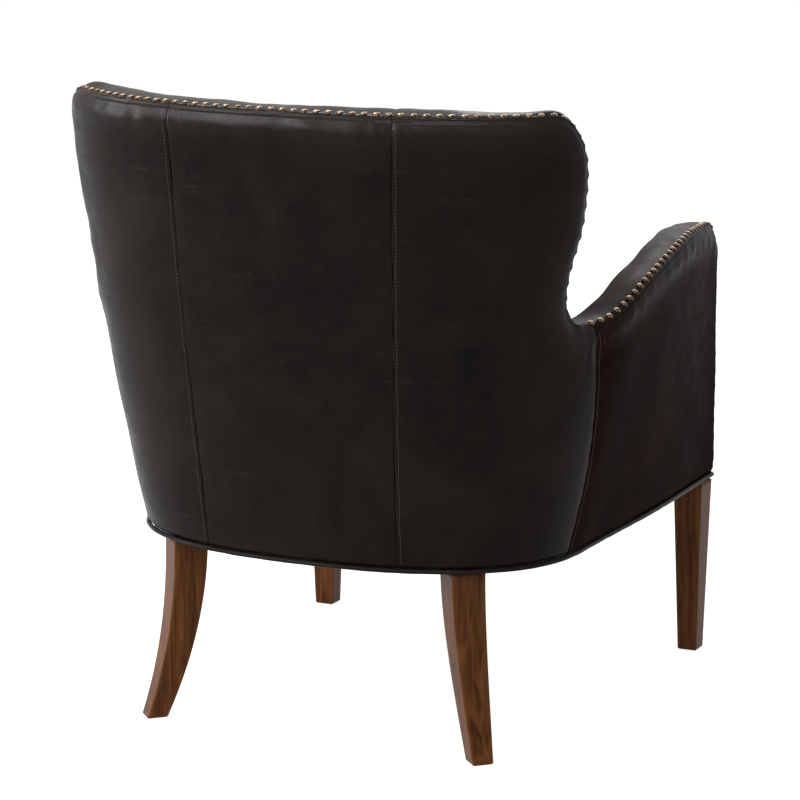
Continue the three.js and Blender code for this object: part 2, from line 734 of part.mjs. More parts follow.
function buildCornerBlocks() {
  const bottom = FRAME_BOTTOM_Z + (RAIL_HEIGHT - BLOCK_HEIGHT) / 2;
  const triangle = (x, y, tipX, tipY) => [
    [x, y],
    [tipX, tipY],
    [x - BLOCK_LEG, y],
  ];
  const frontX = FRONT_HALF_WIDTH - FRAME_BACK - GAP;
  const frontY = FRONT_RAIL_BACK_Y + GAP;
  const front = triangle(frontX, frontY, frontX, frontY + BLOCK_LEG);
  addPair("front_", "_corner_block", prismGeometry(front, bottom, bottom + BLOCK_HEIGHT), "wood");
  const rearY = SEAT_REAR_RAIL_Y - GAP;
  const tipY = rearY - BLOCK_LEG;
  const rear = triangle(railInnerX(rearY), rearY, railInnerX(tipY), tipY);
  addPair("rear_", "_corner_block", prismGeometry(rear, bottom, bottom + BLOCK_HEIGHT), "wood");
}

// Legs
function squareSection(x, y, z, side, turn) {
  const reach = side / Math.SQRT2;
  return spread(0, 2 * Math.PI, SQUARE_SIDES).slice(0, SQUARE_SIDES).map((corner) => {
    const angle = corner + turn + Math.PI / 4;
    return new THREE.Vector3(x + reach * Math.cos(angle), y + reach * Math.sin(angle), z);
  });
}

function rearLegSection(share) {
  const z = UNDERSIDE_Z * (1 - share);
  const x = REAR_LEG_X + REAR_SPLAY_X * share ** SPLAY_X_POWER;
  const y = REAR_LEG_Y + REAR_SPLAY_Y * share ** SPLAY_Y_POWER;
  const side = REAR_LEG_TOP + (LEG_FOOT - REAR_LEG_TOP) * share ** REAR_TAPER_POWER;
  return squareSection(x, y, z, side, REAR_LEG_ANGLE);
}

function buildLegs() {
  const foot = squareSection(FRONT_LEG_X, FRONT_LEG_Y, 0, LEG_FOOT, 0);
  const top = squareSection(FRONT_LEG_X, FRONT_LEG_Y, UNDERSIDE_Z, FRONT_LEG_TOP, 0);
  const holeBottom = UNDERSIDE_Z - BOLT_HALF_LENGTH - GAP;
  const holeTop = UNDERSIDE_Z + OVERRUN;
  const front = boredGeometry(sweptGeometry([foot, top]), FRONT_LEG_X, FRONT_LEG_Y, holeBottom, holeTop);
  addPair("front_", "_leg", front, "walnut");
  const sabre = sweptGeometry(spread(1, 0, REAR_LEG_STEPS).map(rearLegSection));
  addPair("rear_", "_leg", boredGeometry(sabre, REAR_LEG_X, REAR_LEG_Y, holeBottom, holeTop), "walnut");
  const places = { front_: [FRONT_LEG_X, FRONT_LEG_Y], rear_: [REAR_LEG_X, REAR_LEG_Y] };
  for (const [start, [x, y]] of Object.entries(places)) {
    const [low, high] = [UNDERSIDE_Z - BOLT_HALF_LENGTH, UNDERSIDE_Z + BOLT_HALF_LENGTH];
    addPair(start, "_leg_bolt", boltShaft(x, y, BOLT_RADIUS, low, high), "steel");
  }
}

// Closed outline of the seat, drawn in by an inset: rounded corners, and wider towards the rear
function seatOutline(inset) {
  const x = CUSHION_HALF_WIDTH - inset;
  const frontY = CUSHION_FRONT_Y + inset;
  const rearY = CUSHION_REAR_Y - inset;
  const corner = (radius, cornerY, from, steps) =>
    spread(from, from + Math.PI / 2, steps).map((turn) => [
      x - radius + radius * Math.cos(turn),
      cornerY + radius * Math.sin(turn),
    ]);
  const frontRadius = CUSHION_FRONT_RADIUS - inset;
  const rearRadius = CUSHION_REAR_RADIUS - inset;
  const front = corner(frontRadius, frontY + frontRadius, -Math.PI / 2, CUSHION_FRONT_CORNER_STEPS);
  const rear = corner(rearRadius, rearY - rearRadius, 0, CUSHION_CORNER_STEPS);
  const side = spread(front.at(-1)[1], rear[0][1], CUSHION_SIDE_STEPS).slice(1, -1).map((y) => [x, y]);
  const depth = CUSHION_REAR_Y - CUSHION_FRONT_Y;
  const flare = (y) => 1 + (SEAT_FLARE_SHARE * (y - CUSHION_FRONT_Y)) / depth;
  const half = [...front, ...side, ...rear].map(([px, py]) => [px * flare(py), py]);
  return [...half, ...half.map(([px, py]) => [-px, py]).reverse()];
}

// Suspension
const SPRING_Z = RAIL_TOP_Z + GAP + SPRING_WIRE;
const DECK_Z = SPRING_Z + SPRING_WIRE + GAP;
const DECK_COVER_Z = DECK_Z + DECK_PAD_THICKNESS + GAP;
const CUSHION_Z = DECK_COVER_Z + DECK_COVER_THICKNESS + GAP;
const INSIDE_BOTTOM_Z = DECK_Z;
const CUSHION_REAR_Y = insidePoint(BACK_STATION_SHARE, CUSHION_Z, 1).y - CUSHION_BACK_CLEARANCE;

function buildSuspension() {
  const wire = new THREE.Shape(
    spread(0, 2 * Math.PI, WIRE_SIDES).slice(0, WIRE_SIDES).map(
      (turn) => new THREE.Vector2(SPRING_WIRE * Math.cos(turn), SPRING_WIRE * Math.sin(turn)),
    ),
  );
  const from = FRONT_RAIL_BACK_Y - FRAME_THICKNESS / 2;
  const to = SEAT_REAR_RAIL_Y + SEAT_REAR_RAIL_THICKNESS / 2;
  for (let k = 0; k < SPRING_COUNT; k += 1) {
    const x = (k - (SPRING_COUNT - 1) / 2) * SPRING_PITCH;
    const path = spread(0, 1, SPRING_STEPS).map((share) => {
      const sway = SPRING_AMPLITUDE * Math.sin(share * SPRING_WAVES * 2 * Math.PI);
      return new THREE.Vector3(x + sway, from + (to - from) * share, SPRING_Z);
    });
    const extrudePath = new THREE.CatmullRomCurve3(path);
    const geometry = new THREE.ExtrudeGeometry(wire, { steps: SPRING_STEPS, extrudePath });
    addNode(`seat_spring_${k + 1}`, geometryOf(solidOf(geometry)), "steel");
  }
  const pad = seatOutline(0);
  addNode("deck_pad", prismGeometry(pad, DECK_Z, DECK_Z + DECK_PAD_THICKNESS), "foam");
  addNode("deck_cover", prismGeometry(pad, DECK_COVER_Z, DECK_COVER_Z + DECK_COVER_THICKNESS), "cloth");
}

function buildDustCover() {
  const start = stationAtY(FRONT_Y + DUST_COVER_INSET, UNDERSIDE_Z);
  const outline = stationsBetween(start, END_STATION_SHARE - start).map((station) => {
    const point = shellPoint(station, UNDERSIDE_Z, DUST_COVER_INSET);
    return [point.x, point.y];
  });
  const bottom = UNDERSIDE_Z - DUST_COVER_THICKNESS;
  let cover = solidOf(prismGeometry(outline, bottom, UNDERSIDE_Z));
  const reach = DUST_COVER_THICKNESS + OVERRUN;
  const cut = (x, y, side, turn) => {
    const sections = [-reach, reach].map((rise) => squareSection(x, y, UNDERSIDE_Z + rise, side, turn));
    cover = cover.subtract(solidOf(sweptGeometry(sections)));
  };
  for (const way of [-1, 1]) {
    cut(way * FRONT_LEG_X, FRONT_LEG_Y, FRONT_LEG_TOP + 2 * FACET_SLACK, 0);
    cut(way * REAR_LEG_X, REAR_LEG_Y, REAR_LEG_TOP + 2 * FACET_SLACK, REAR_LEG_ANGLE);
  }
  addNode("dust_cover", geometryOf(cover), "cloth");
}

// Outside panels: a sideways seam gap divides neighbours
function sidePanelFront(z) {
  if (z < CROTCH_Z) return slideStation(stationAtY(armSeamY(z), z), z, SEAM_GAP / 2);
  return slideStation(stationAtY(wingEdgeY(z), z), z, COVER_GAP);
}

function buildOutsidePanels() {
  const top = NAIL_TOP_Z - COVER_GAP;
  const seamStation = (z) => stationAtX(backSeamX(z), z);
  const rows = [
    ...spread(PANEL_BOTTOM_Z, CROTCH_Z - WING_FOOT_GAP, LOW_PANEL_ROWS),
    ...spread(CROTCH_Z + GAP, top, PANEL_ROWS),
  ];
  const rear = (z) => slideStation(seamStation(z), z, -SEAM_GAP / 2);
  const side = panelGeometry(sidePanelFront, rear, CORNER_COLUMNS - 1, rows);
  addPair("outside_back_", "_panel", side, "leather");
  const from = (z) => slideStation(seamStation(z), z, SEAM_GAP / 2);
  const middleRows = spread(PANEL_BOTTOM_Z, top, PANEL_ROWS);
  const middle = panelGeometry(from, (z) => END_STATION_SHARE - from(z), CORNER_COLUMNS, middleRows);
  addNode("outside_back_centre_panel", middle, "leather");

  // The arm's panel keeps the common stations, apart from its last two columns, which lean with the seam
  const seam = (z) => slideStation(stationAtY(armSeamY(Math.min(z, CROTCH_Z)), z), z, -SEAM_GAP / 2);
  const fixed = armStations(CORNER_STATION_SHARE).map((station) => ({ station, lean: 0 }));
  const leaning = [1 / 2, 1].map((lean) => ({ station: CORNER_STATION_SHARE, lean }));
  const columns = [...fixed, ...leaning];
  const grid = (inset) =>
    columns.map(({ station, lean }) => {
      const at = (z) => station + (seam(z) - station) * lean;
      const lineZ = armLineZ(shellPoint(at(CROTCH_Z), CROTCH_Z).y) - COVER_GAP;
      return spread(PANEL_BOTTOM_Z, lineZ, PANEL_ROWS).map((z) => shellPoint(at(z), z, inset));
    });
  addPair("outside_arm_", "_panel", sheetGeometry(grid(0), grid(LEATHER)), "leather");
}

function buildBottomWelt() {
  const z = FRAME_BOTTOM_Z + WELT_RADIUS;
  const start = stationAtY(FRONT_Y + WELT_INSET + WELT_RADIUS, z);
  const stations = stationsBetween(start, END_STATION_SHARE - start);
  const round = stations.map((station) => shellPoint(station, z, WELT_INSET));
  const reach = FRONT_HALF_WIDTH - WELT_INSET - WELT_RADIUS;
  const frontY = FRONT_Y + WELT_INSET;
  const across = spread(-reach, reach, SIDE_COLUMNS).map((x) => new THREE.Vector3(x, frontY, z));
  addNode("bottom_welt", loopTube([...round, ...across], WELT_RADIUS, WELT_SIDES), "leather");
}

function buildArmCovers() {
  const stations = armStations(JOINT_STATION);
  const points = [];
  const triangles = [];
  const rows = RIM_SHARES.length + ARM_LEVELS;
  stations.forEach((station) => {
    const line = armLineZ(shellPoint(station, CROTCH_Z).y);
    const column = RIM_SHARES.map(([rise, share]) => insidePoint(station, line + rise * RIM_RISE, share));
    const inside = spread(column.at(-1).z, INSIDE_BOTTOM_Z, ARM_LEVELS).slice(1);
    points.push(...column, ...inside.map((z) => insidePoint(station, z, 1)));
  });
  for (let i = 0; i < stations.length - 1; i += 1) {
    for (let j = 0; j < rows - 1; j += 1) {
      const [a, b] = [i * rows + j, (i + 1) * rows + j];
      triangles.push([a, b, b + 1], [a, b + 1, a + 1]);
    }
  }
  addPair("inside_arm_", "_cover", skinGeometry(points, triangles, LEATHER), "leather");

  const foamFrom = FRAME_BACK + FOAM_SLACK;
  const foamTo = ARM_WALL - LEATHER - FOAM_SLACK;
  const foamRow = (station) => {
    const line = armLineZ(shellPoint(station, CROTCH_Z).y);
    const lowest = RIM_SHARES.at(-1)[0] * RIM_RISE;
    const inner = spread(INSIDE_BOTTOM_Z, line + lowest, ARM_LEVELS);
    return [
      shellPoint(station, INSIDE_BOTTOM_Z, foamFrom),
      ...inner.map((z) => shellPoint(station, z, foamTo)),
      shellPoint(station, line - RIM_RISE / 2, (foamFrom + foamTo) / 2),
      shellPoint(station, line - RIM_RISE / 2, foamFrom),
    ];
  };
  const foamStations = armStations(JOINT_STATION).slice(1);
  addPair("inside_arm_", "_foam", sweptGeometry([FRAME_START, ...foamStations].map(foamRow)), "foam");
}

function buildFacings() {
  const line = armLineZ(FRONT_Y);
  const inner = ARM_WALL - LEATHER - FOAM_SLACK;
  const lowest = RIM_SHARES.at(-1)[0] * RIM_RISE;
  const outline = [
    [LEATHER + GAP, PANEL_BOTTOM_Z],
    [LEATHER + GAP, line - RIM_RISE],
    [inner / 2, line - RIM_RISE / 2],
    [inner, line + lowest - FOAM_SLACK],
    [inner, PANEL_BOTTOM_Z],
  ];
  const at = (y) => outline.map(([inset, z]) => new THREE.Vector3(FRONT_HALF_WIDTH - inset, y, z));
  addPair("arm_front_", "_facing", sweptGeometry([at(FRONT_Y), at(FRONT_Y + LEATHER)]), "leather");
  const half = FRONT_HALF_WIDTH - ARM_WALL - GAP;
  const border = boxGeometry(
    [-half, FRONT_Y, PANEL_BOTTOM_Z],
    [half, FRONT_Y + LEATHER, DECK_COVER_Z],
  );
  addNode("front_border_panel", border, "leather");
}

// Inside back: a rim that follows the wings and the top, and a face that fills it
function rimPath() {
  const joint = stationAtY(CROTCH_Y + COVER_GAP, CROTCH_Z);
  const lowHeights = spread(INSIDE_BOTTOM_Z, CROTCH_Z - WING_FOOT_GAP, INSIDE_LEVELS);
  const low = lowHeights.map((z) => ({ station: joint, z, rolled: 0 }));
  const wing = spread(CROTCH_Z + WING_FOOT_GAP, NAIL_TOP_Z, WING_LEVELS).map((z) => ({
    station: stationAtY(wingEdgeY(z), z),
    z,
    rolled: 1,
  }));
  const top = stationsBetween(wing.at(-1).station, BACK_STATION_SHARE).slice(1);
  const middle = top.map((station) => ({ station, z: NAIL_TOP_Z, rolled: 1 }));
  const half = [...low, ...wing, ...middle];
  const mirrored = (step) => ({ ...step, station: END_STATION_SHARE - step.station });
  const other = half.slice(0, -1).reverse().map(mirrored);
  return { path: [...half, ...other], columnCount: low.length + wing.length };
}

// Direction away from the panel, as a length along the shell and a height
function awayFrom(path, k) {
  const before = path[Math.max(k - 1, 0)];
  const after = path[Math.min(k + 1, path.length - 1)];
  const from = shellPoint(before.station, before.z);
  const to = shellPoint(after.station, after.z);
  const way = Math.sign(after.station - before.station) || 1;
  const along = way * Math.hypot(to.x - from.x, to.y - from.y);
  const up = to.z - from.z;
  const length = Math.hypot(along, up);
  return { along: -up / length, up: along / length };
}

// Rings of the rim round the path, as places on the shell with a share of the wall's thickness
function rimRings(path) {
  const last = RIM_SHARES.length - 1;
  return path.map((step, k) => {
    const away = awayFrom(path, k);
    return RIM_SHARES.map(([rise, share], r) => {
      const reach = step.rolled * rise * RIM_RISE;
      const returned = RETURN_SHARE + ((1 - RETURN_SHARE) * r) / last;
      const behind = step.rolled ? reach : -LEATHER - FOAM_SLACK;
      return {
        station: slideStation(step.station, step.z, away.along * reach),
        behind: slideStation(step.station, step.z, away.along * behind),
        z: step.z + away.up * reach,
        share: step.rolled ? share : returned,
      };
    });
  });
}

function buildInsideBack() {
  const { path, columnCount } = rimPath();
  const last = path.length - 1;
  const rings = RIM_SHARES.length;
  const flat = rimRings(path);
  const places = flat.flat();
  const triangles = [];
  const filled = [];
  for (let k = 0; k < last; k += 1) {
    for (let r = 0; r < rings - 1; r += 1) {
      const [a, b] = [k * rings + r, (k + 1) * rings + r];
      const pair = [[a, b, b + 1], [a, b + 1, a + 1]];
      triangles.push(...pair);
      if (r >= FOAM_RING) filled.push(...pair);
    }
  }
  // The face between the rims: each inner point is blended from the four edges
  const edge = (k) => flat[k][rings - 1];
  const rows = columnCount - 1;
  const columns = last - 2 * rows;
  const mix = (a, b, t) => ({
    station: a.station + (b.station - a.station) * t,
    z: a.z + (b.z - a.z) * t,
  });
  const indexes = new Map();
  for (let i = 0; i <= columns; i += 1) {
    for (let j = 0; j <= rows; j += 1) {
      let kept = -1;
      if (i === 0) kept = j;
      if (i === columns) kept = last - j;
      if (j === rows) kept = rows + i;
      if (kept >= 0) {
        indexes.set(`${i},${j}`, kept * rings + rings - 1);
        continue;
      }
      const [u, v] = [i / columns, j / rows];
      const sides = mix(edge(j), edge(last - j), u);
      const ends = mix(mix(edge(0), edge(last), u), edge(rows + i), v);
      const corners = mix(mix(edge(0), edge(last), u), mix(edge(rows), edge(last - rows), u), v);
      const station = sides.station + ends.station - corners.station;
      indexes.set(`${i},${j}`, places.length);
      places.push({ station, behind: station, z: sides.z + ends.z - corners.z, share: 1 });
    }
  }
  for (let i = 0; i < columns; i += 1) {
    for (let j = 0; j < rows; j += 1) {
      const [a, b] = [indexes.get(`${i},${j}`), indexes.get(`${i},${j + 1}`)];
      const [c, d] = [indexes.get(`${i + 1},${j + 1}`), indexes.get(`${i + 1},${j}`)];
      triangles.push([a, b, c], [a, c, d]);
      filled.push([a, b, c], [a, c, d]);
    }
  }
  const points = places.map(({ station, z, share }) => insidePoint(station, z, share));
  addNode("inside_back_cover", skinGeometry(points, triangles, LEATHER), "leather");

  // The foam fills the space from the cover's inside to the frame, on the same triangles
  const used = [...new Set(filled.flat())];
  const order = new Map(used.map((k, n) => [k, n]));
  const sunk = sunkPoints(points, triangles, LEATHER + FOAM_SLACK);
  const frameSide = FRAME_INSET + BACK_POST_DEPTH + FOAM_SLACK;
  const front = used.map((k) => sunk[k]);
  const rear = used.map((k) => shellPoint(places[k].behind, places[k].z, frameSide));
  const renumbered = filled.map((triangle) => triangle.map((k) => order.get(k)));
  addNode("inside_back_foam", layerGeometry(front, rear, renumbered), "foam");
}

// Loose cushion
const CUSHION_EDGE_Z = CUSHION_Z + CUSHION_BELLY;
const CUSHION_WELTS_HEIGHT = 4 * CUSHION_WELT_RADIUS;
const CUSHION_TOP_EDGE_Z = CUSHION_EDGE_Z + CUSHION_BOXING_HEIGHT + CUSHION_WELTS_HEIGHT;
const CUSHION_BODY_INSET = 2 * CUSHION_WELT_RADIUS;
const CUSHION_MIDDLE_Y = (CUSHION_FRONT_Y + CUSHION_REAR_Y) / 2;

// Crown of the cushion at a place: none at the outline, most in the middle
function crownShare(x, y) {
  const across = Math.min(Math.abs(x) / CUSHION_HALF_WIDTH, 1);
  const along = Math.min(Math.abs(y - CUSHION_MIDDLE_Y) / (CUSHION_REAR_Y - CUSHION_MIDDLE_Y), 1);
  return (1 - across ** CUSHION_SWELL_POWER) * (1 - along ** CUSHION_SWELL_POWER);
}

function cushionRing(inset, share, edgeZ, swell) {
  return seatOutline(inset).map(([outlineX, outlineY]) => {
    const x = outlineX * share;
    const y = CUSHION_MIDDLE_Y + (outlineY - CUSHION_MIDDLE_Y) * share;
    return new THREE.Vector3(x, y, share < 1 ? edgeZ + swell * crownShare(x, y) : edgeZ);
  });
}

function cushionPanel(inset, edgeZ, swell) {
  const shares = spread(1, 0, CUSHION_RINGS).slice(0, -1);
  const rings = shares.map((share) => cushionRing(inset, share, edgeZ, swell));
  const sides = rings[0].length;
  const points = rings.flat();
  points.push(new THREE.Vector3(0, CUSHION_MIDDLE_Y, edgeZ + swell));
  const triangles = [];
  for (let r = 0; r < rings.length; r += 1) {
    for (let k = 0; k < sides; k += 1) {
      const [a, b] = [r * sides + k, r * sides + ((k + 1) % sides)];
      if (r === rings.length - 1) triangles.push([a, b, points.length - 1]);
      else triangles.push([a, b, b + sides], [a, b + sides, a + sides]);
    }
  }
  const facing = swell > 0 ? triangles : triangles.map(([a, b, c]) => [a, c, b]);
  return skinGeometry(points, facing, CUSHION_SKIN);
}

function buildCushion() {
  const top = CUSHION_TOP_EDGE_Z - CUSHION_WELT_RADIUS;
  const bottom = CUSHION_EDGE_Z + CUSHION_WELT_RADIUS;
  const crown = CUSHION_CROWN + CUSHION_WELT_RADIUS;
  const belly = CUSHION_BELLY + CUSHION_WELT_RADIUS;
  addNode("cushion_top_panel", cushionPanel(CUSHION_BODY_INSET, top, crown), "leather");
  addNode("cushion_bottom_panel", cushionPanel(CUSHION_BODY_INSET, bottom, -belly), "leather");
  const welt = seatOutline(CUSHION_WELT_RADIUS - GAP);
  const at = (z) => welt.map(([x, y]) => new THREE.Vector3(x, y, z));
  addNode("cushion_top_welt", loopTube(at(top), CUSHION_WELT_RADIUS, WELT_SIDES), "leather");
  addNode("cushion_bottom_welt", loopTube(at(bottom), CUSHION_WELT_RADIUS, WELT_SIDES), "leather");

  const low = bottom + CUSHION_WELT_RADIUS + GAP;
  const high = top - CUSHION_WELT_RADIUS - GAP;
  const middle = (low + high) / 2;
  const outer = [
    [0, low],
    [-CUSHION_SIDE_SWELL, middle],
    [0, high],
  ];
  const inner = outer.map(([inset, z]) => [inset + CUSHION_SKIN, z]).reverse();
  const wall = [...outer, ...inner].map(([inset, z]) => ({ outline: seatOutline(inset), z }));
  const sections = seatOutline(0).map((_, k) =>
    wall.map(({ outline, z }) => new THREE.Vector3(...outline[k], z)),
  );
  addNode("cushion_boxing", sweptGeometry(sections, true), "leather");

  const shares = spread(1, 1 / CUSHION_RINGS, CUSHION_RINGS - 1);
  const inside = CUSHION_BODY_INSET + GAP;
  const gap = CUSHION_SKIN + 2 * GAP;
  const lower = [...shares].reverse().map((share) => cushionRing(inside, share, bottom + gap, -belly));
  const upper = shares.map((share) => cushionRing(inside, share, top - gap, crown));
  const drawn = CUSHION_SKIN + FACET_SLACK;
  const sides = [
    cushionRing(drawn, 1, low + GAP, 0),
    cushionRing(drawn - CUSHION_SIDE_SWELL, 1, middle, 0),
    cushionRing(drawn, 1, high - GAP, 0),
  ];
  addNode("cushion_foam", sweptGeometry([...lower, ...sides, ...upper]), "foam");

  const tapeY = CUSHION_REAR_Y + CUSHION_SIDE_SWELL + GAP;
  const tape = boxGeometry(
    [-ZIP_HALF_LENGTH, tapeY, middle - ZIP_HEIGHT / 2],
    [ZIP_HALF_LENGTH, tapeY + ZIP_THICKNESS, middle + ZIP_HEIGHT / 2],
  );
  addNode("cushion_zip_tape", tape, "cloth");
  const sliderY = tapeY + ZIP_THICKNESS + GAP;
  const slider = boxGeometry(
    [-ZIP_HALF_LENGTH, sliderY, middle - SLIDER_HEIGHT / 2],
    [-ZIP_HALF_LENGTH + SLIDER_LENGTH, sliderY + SLIDER_THICKNESS, middle + SLIDER_HEIGHT / 2],
  );
  addNode("cushion_zip_slider", slider, "brass");
}

// Nailhead trim: a tape along frames of a place and a normal, which swells into each head
function trimGeometry(frames) {
  const reach = [0];
  for (let k = 1; k < frames.length; k += 1) {
    reach.push(reach[k - 1] + frames[k].place.distanceTo(frames[k - 1].place));
  }
  const total = reach.at(-1);
  const sectionAt = (distance, foot, crown, height) => {
    let k = 0;
    while (k < reach.length - 2 && reach[k + 1] < distance) k += 1;
    const t = (distance - reach[k]) / (reach[k + 1] - reach[k]);
    const place = frames[k].place.clone().lerp(frames[k + 1].place, t);
    const normal = frames[k].normal.clone().lerp(frames[k + 1].normal, t).normalize();
    const along = frames[k + 1].place.clone().sub(frames[k].place);
    const side = new THREE.Vector3().crossVectors(normal, along).normalize();
    const corner = (across, out) => {
      return place.clone().addScaledVector(side, across).addScaledVector(normal, out);
    };
    return [corner(-foot, 0), corner(foot, 0), corner(crown, height), corner(-crown, height)];
  };
  const halfTape = NAIL_TAPE_WIDTH / 2;
  const tape = (distance) => sectionAt(distance, halfTape, halfTape, NAIL_TAPE_THICKNESS);
  const head = (distance) => sectionAt(distance, NAIL_RADIUS, NAIL_RADIUS * NAIL_CROWN_SHARE, NAIL_DOME);
  const count = Math.floor((total - 2 * NAIL_END) / NAIL_PITCH);
  const start = (total - count * NAIL_PITCH) / 2;
  const sections = [];
  for (let n = 0; n <= count; n += 1) {
    const at = start + n * NAIL_PITCH;
    const shoulder = NAIL_RADIUS * NAIL_CROWN_SHARE;
    sections.push(tape(at - NAIL_RADIUS), head(at - shoulder));
    sections.push(head(at + shoulder), tape(at + NAIL_RADIUS));
  }
  return sweptGeometry(sections);
}

function shellNormal(station, z) {
  const along = shellPoint(station + SLIDE_SHARE, z).sub(shellPoint(station - SLIDE_SHARE, z));
  return along.cross(UP).normalize();
}

// Place and normal of a nail on a rolled edge, turned over the rim by an angle
function nailFrame(station, z, away, turn) {
  const outward = shellNormal(station, z);
  const forward = new THREE.Vector3(-outward.y, outward.x, 0).multiplyScalar(away.along);
  forward.addScaledVector(UP, away.up);
  const normal = outward.clone().multiplyScalar(Math.cos(turn)).addScaledVector(forward, Math.sin(turn));
  const place = shellPoint(station, z);
  place.addScaledVector(outward, -ROLL_DEPTH * (1 - Math.cos(turn)));
  place.addScaledVector(forward, (RIM_RISE + NAIL_STANDOFF) * Math.sin(turn));
  return { place: place.addScaledVector(normal, NAIL_STANDOFF), normal };
}

function buildTrims() {
  const { path } = rimPath();
  const rolled = path.filter((step) => step.rolled);
  const frames = rolled.map((step, k) => {
    const away = awayFrom(rolled, k);
    const turn = BACK_NAIL_ANGLE + (WING_NAIL_ANGLE - BACK_NAIL_ANGLE) * Math.abs(away.along);
    return nailFrame(step.station, step.z, away, turn);
  });
  addNode("back_nail_trim", trimGeometry(frames.slice(1, -1)), "brass");

  const armFrames = spread(FRONT_Y + NAIL_END, CROTCH_Y - NAIL_END, ARM_NAIL_STEPS).map((y) => {
    const z = armLineZ(y);
    const slope = (armLineZ(y + GAP) - armLineZ(y - GAP)) / (2 * GAP);
    const length = Math.hypot(1, slope);
    return nailFrame(stationAtY(y, z), z, { along: -slope / length, up: 1 / length }, ARM_NAIL_ANGLE);
  });
  addPair("", "_arm_nail_trim", trimGeometry(armFrames), "brass");
}

buildLegs();
buildRails();
buildPosts();
buildCornerBlocks();
buildSuspension();
buildDustCover();
buildBottomWelt();
buildOutsidePanels();
buildArmCovers();
buildFacings();
buildInsideBack();
buildCushion();
buildTrims();

export default chair;
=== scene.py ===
import json
import math

import bpy
import numpy as np
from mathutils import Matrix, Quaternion, Vector
from mathutils.geometry import delaunay_2d_cdt


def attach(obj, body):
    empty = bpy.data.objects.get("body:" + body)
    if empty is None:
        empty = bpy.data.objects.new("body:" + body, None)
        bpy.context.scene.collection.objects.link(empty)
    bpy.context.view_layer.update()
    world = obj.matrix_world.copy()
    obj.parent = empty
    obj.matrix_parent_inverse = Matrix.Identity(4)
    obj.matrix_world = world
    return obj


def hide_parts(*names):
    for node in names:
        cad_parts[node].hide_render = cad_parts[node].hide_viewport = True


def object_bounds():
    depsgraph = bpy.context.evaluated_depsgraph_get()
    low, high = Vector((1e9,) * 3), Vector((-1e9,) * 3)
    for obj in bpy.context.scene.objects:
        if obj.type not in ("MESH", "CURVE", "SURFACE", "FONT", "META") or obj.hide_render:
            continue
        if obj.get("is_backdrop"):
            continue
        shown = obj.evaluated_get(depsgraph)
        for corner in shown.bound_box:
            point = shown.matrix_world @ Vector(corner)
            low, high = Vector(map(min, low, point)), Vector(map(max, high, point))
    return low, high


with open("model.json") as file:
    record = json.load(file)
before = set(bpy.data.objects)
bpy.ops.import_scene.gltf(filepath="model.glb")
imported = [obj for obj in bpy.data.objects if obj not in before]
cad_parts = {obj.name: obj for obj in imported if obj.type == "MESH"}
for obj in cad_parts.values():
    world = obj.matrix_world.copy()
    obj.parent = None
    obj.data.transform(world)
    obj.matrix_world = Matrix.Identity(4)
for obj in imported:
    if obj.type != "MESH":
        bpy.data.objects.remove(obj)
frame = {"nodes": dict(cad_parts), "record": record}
CAD_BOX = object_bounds()

# Shell, as in the frame
UNDERSIDE = 0.245
NAIL_TOP = 0.838
FRONT_Y = -0.376
CORNER_Y = 0.100
FRONT_HALF_WIDTH = 0.306
TOP_FLARE = 0.102
SIDE_BOW = 0.008
SIDE_SWELL = 0.005
BASE_BACK_DEPTH = 0.216
TOP_BACK_DEPTH = 0.276
BACK_BOW = 0.005
PLAN_POWER = 2.4
TAPER_EASE_SHARE = 0.15
SLIDE_SHARE = 0.002
END_STATION = 4
BACK_STATION = 2

# Outlines, as in the frame
CROTCH_Y = 0.205
CROTCH_Z = 0.566
WING_FRONT_Y = 0.231
WING_SETBACK = 0.044
WING_EDGE_SHARES = [
    [0, -0.3], [0.06, 0.02], [0.19, 0.18], [0.31, 0.14], [0.46, 0],
    [0.6, 0.02], [0.75, 0.12], [0.86, 0.33], [0.94, 0.6], [1, 0.98],
]
ARM_RISE = 0.057
ARM_LINE_SHARES = [
    [0, 0.5], [0.035, 0.73], [0.06, 0.81], [0.1, 0.87], [0.19, 0.94], [0.3, 1], [0.38, 0.98],
    [0.45, 0.93], [0.54, 0.83], [0.63, 0.69], [0.72, 0.53], [0.81, 0.29], [0.9, 0.07], [0.95, 0.01], [1, 0],
]
ARM_SEAM_FOOT_Y = 0.146
ARM_SEAM_SHIFT = 0.040
ARM_SEAM_SHARES = [
    [0, 0], [0.16, -0.08], [0.33, -0.12], [0.5, 0], [0.68, 0.28], [0.85, 0.64], [1, 1],
]
BACK_SEAM_FOOT_X = 0.136
BACK_SEAM_TOP_X = 0.159
ARM_WALL = 0.060
BACK_TOP_WALL = 0.066
BACK_LUMBAR_WALL = 0.150
LUMBAR_Z = 0.470
PAD_POWER = 2.6
COVER_GAP = 0.0026
INSIDE_BOTTOM = 0.3197
FRAME_SIDE = 0.0372
ARM_FOAM_SIDE = 0.0282

# Edges of the upholstery
LEATHER = 0.0014
PAD_SKIN = 0.00224
PANEL_BOTTOM = 0.2500
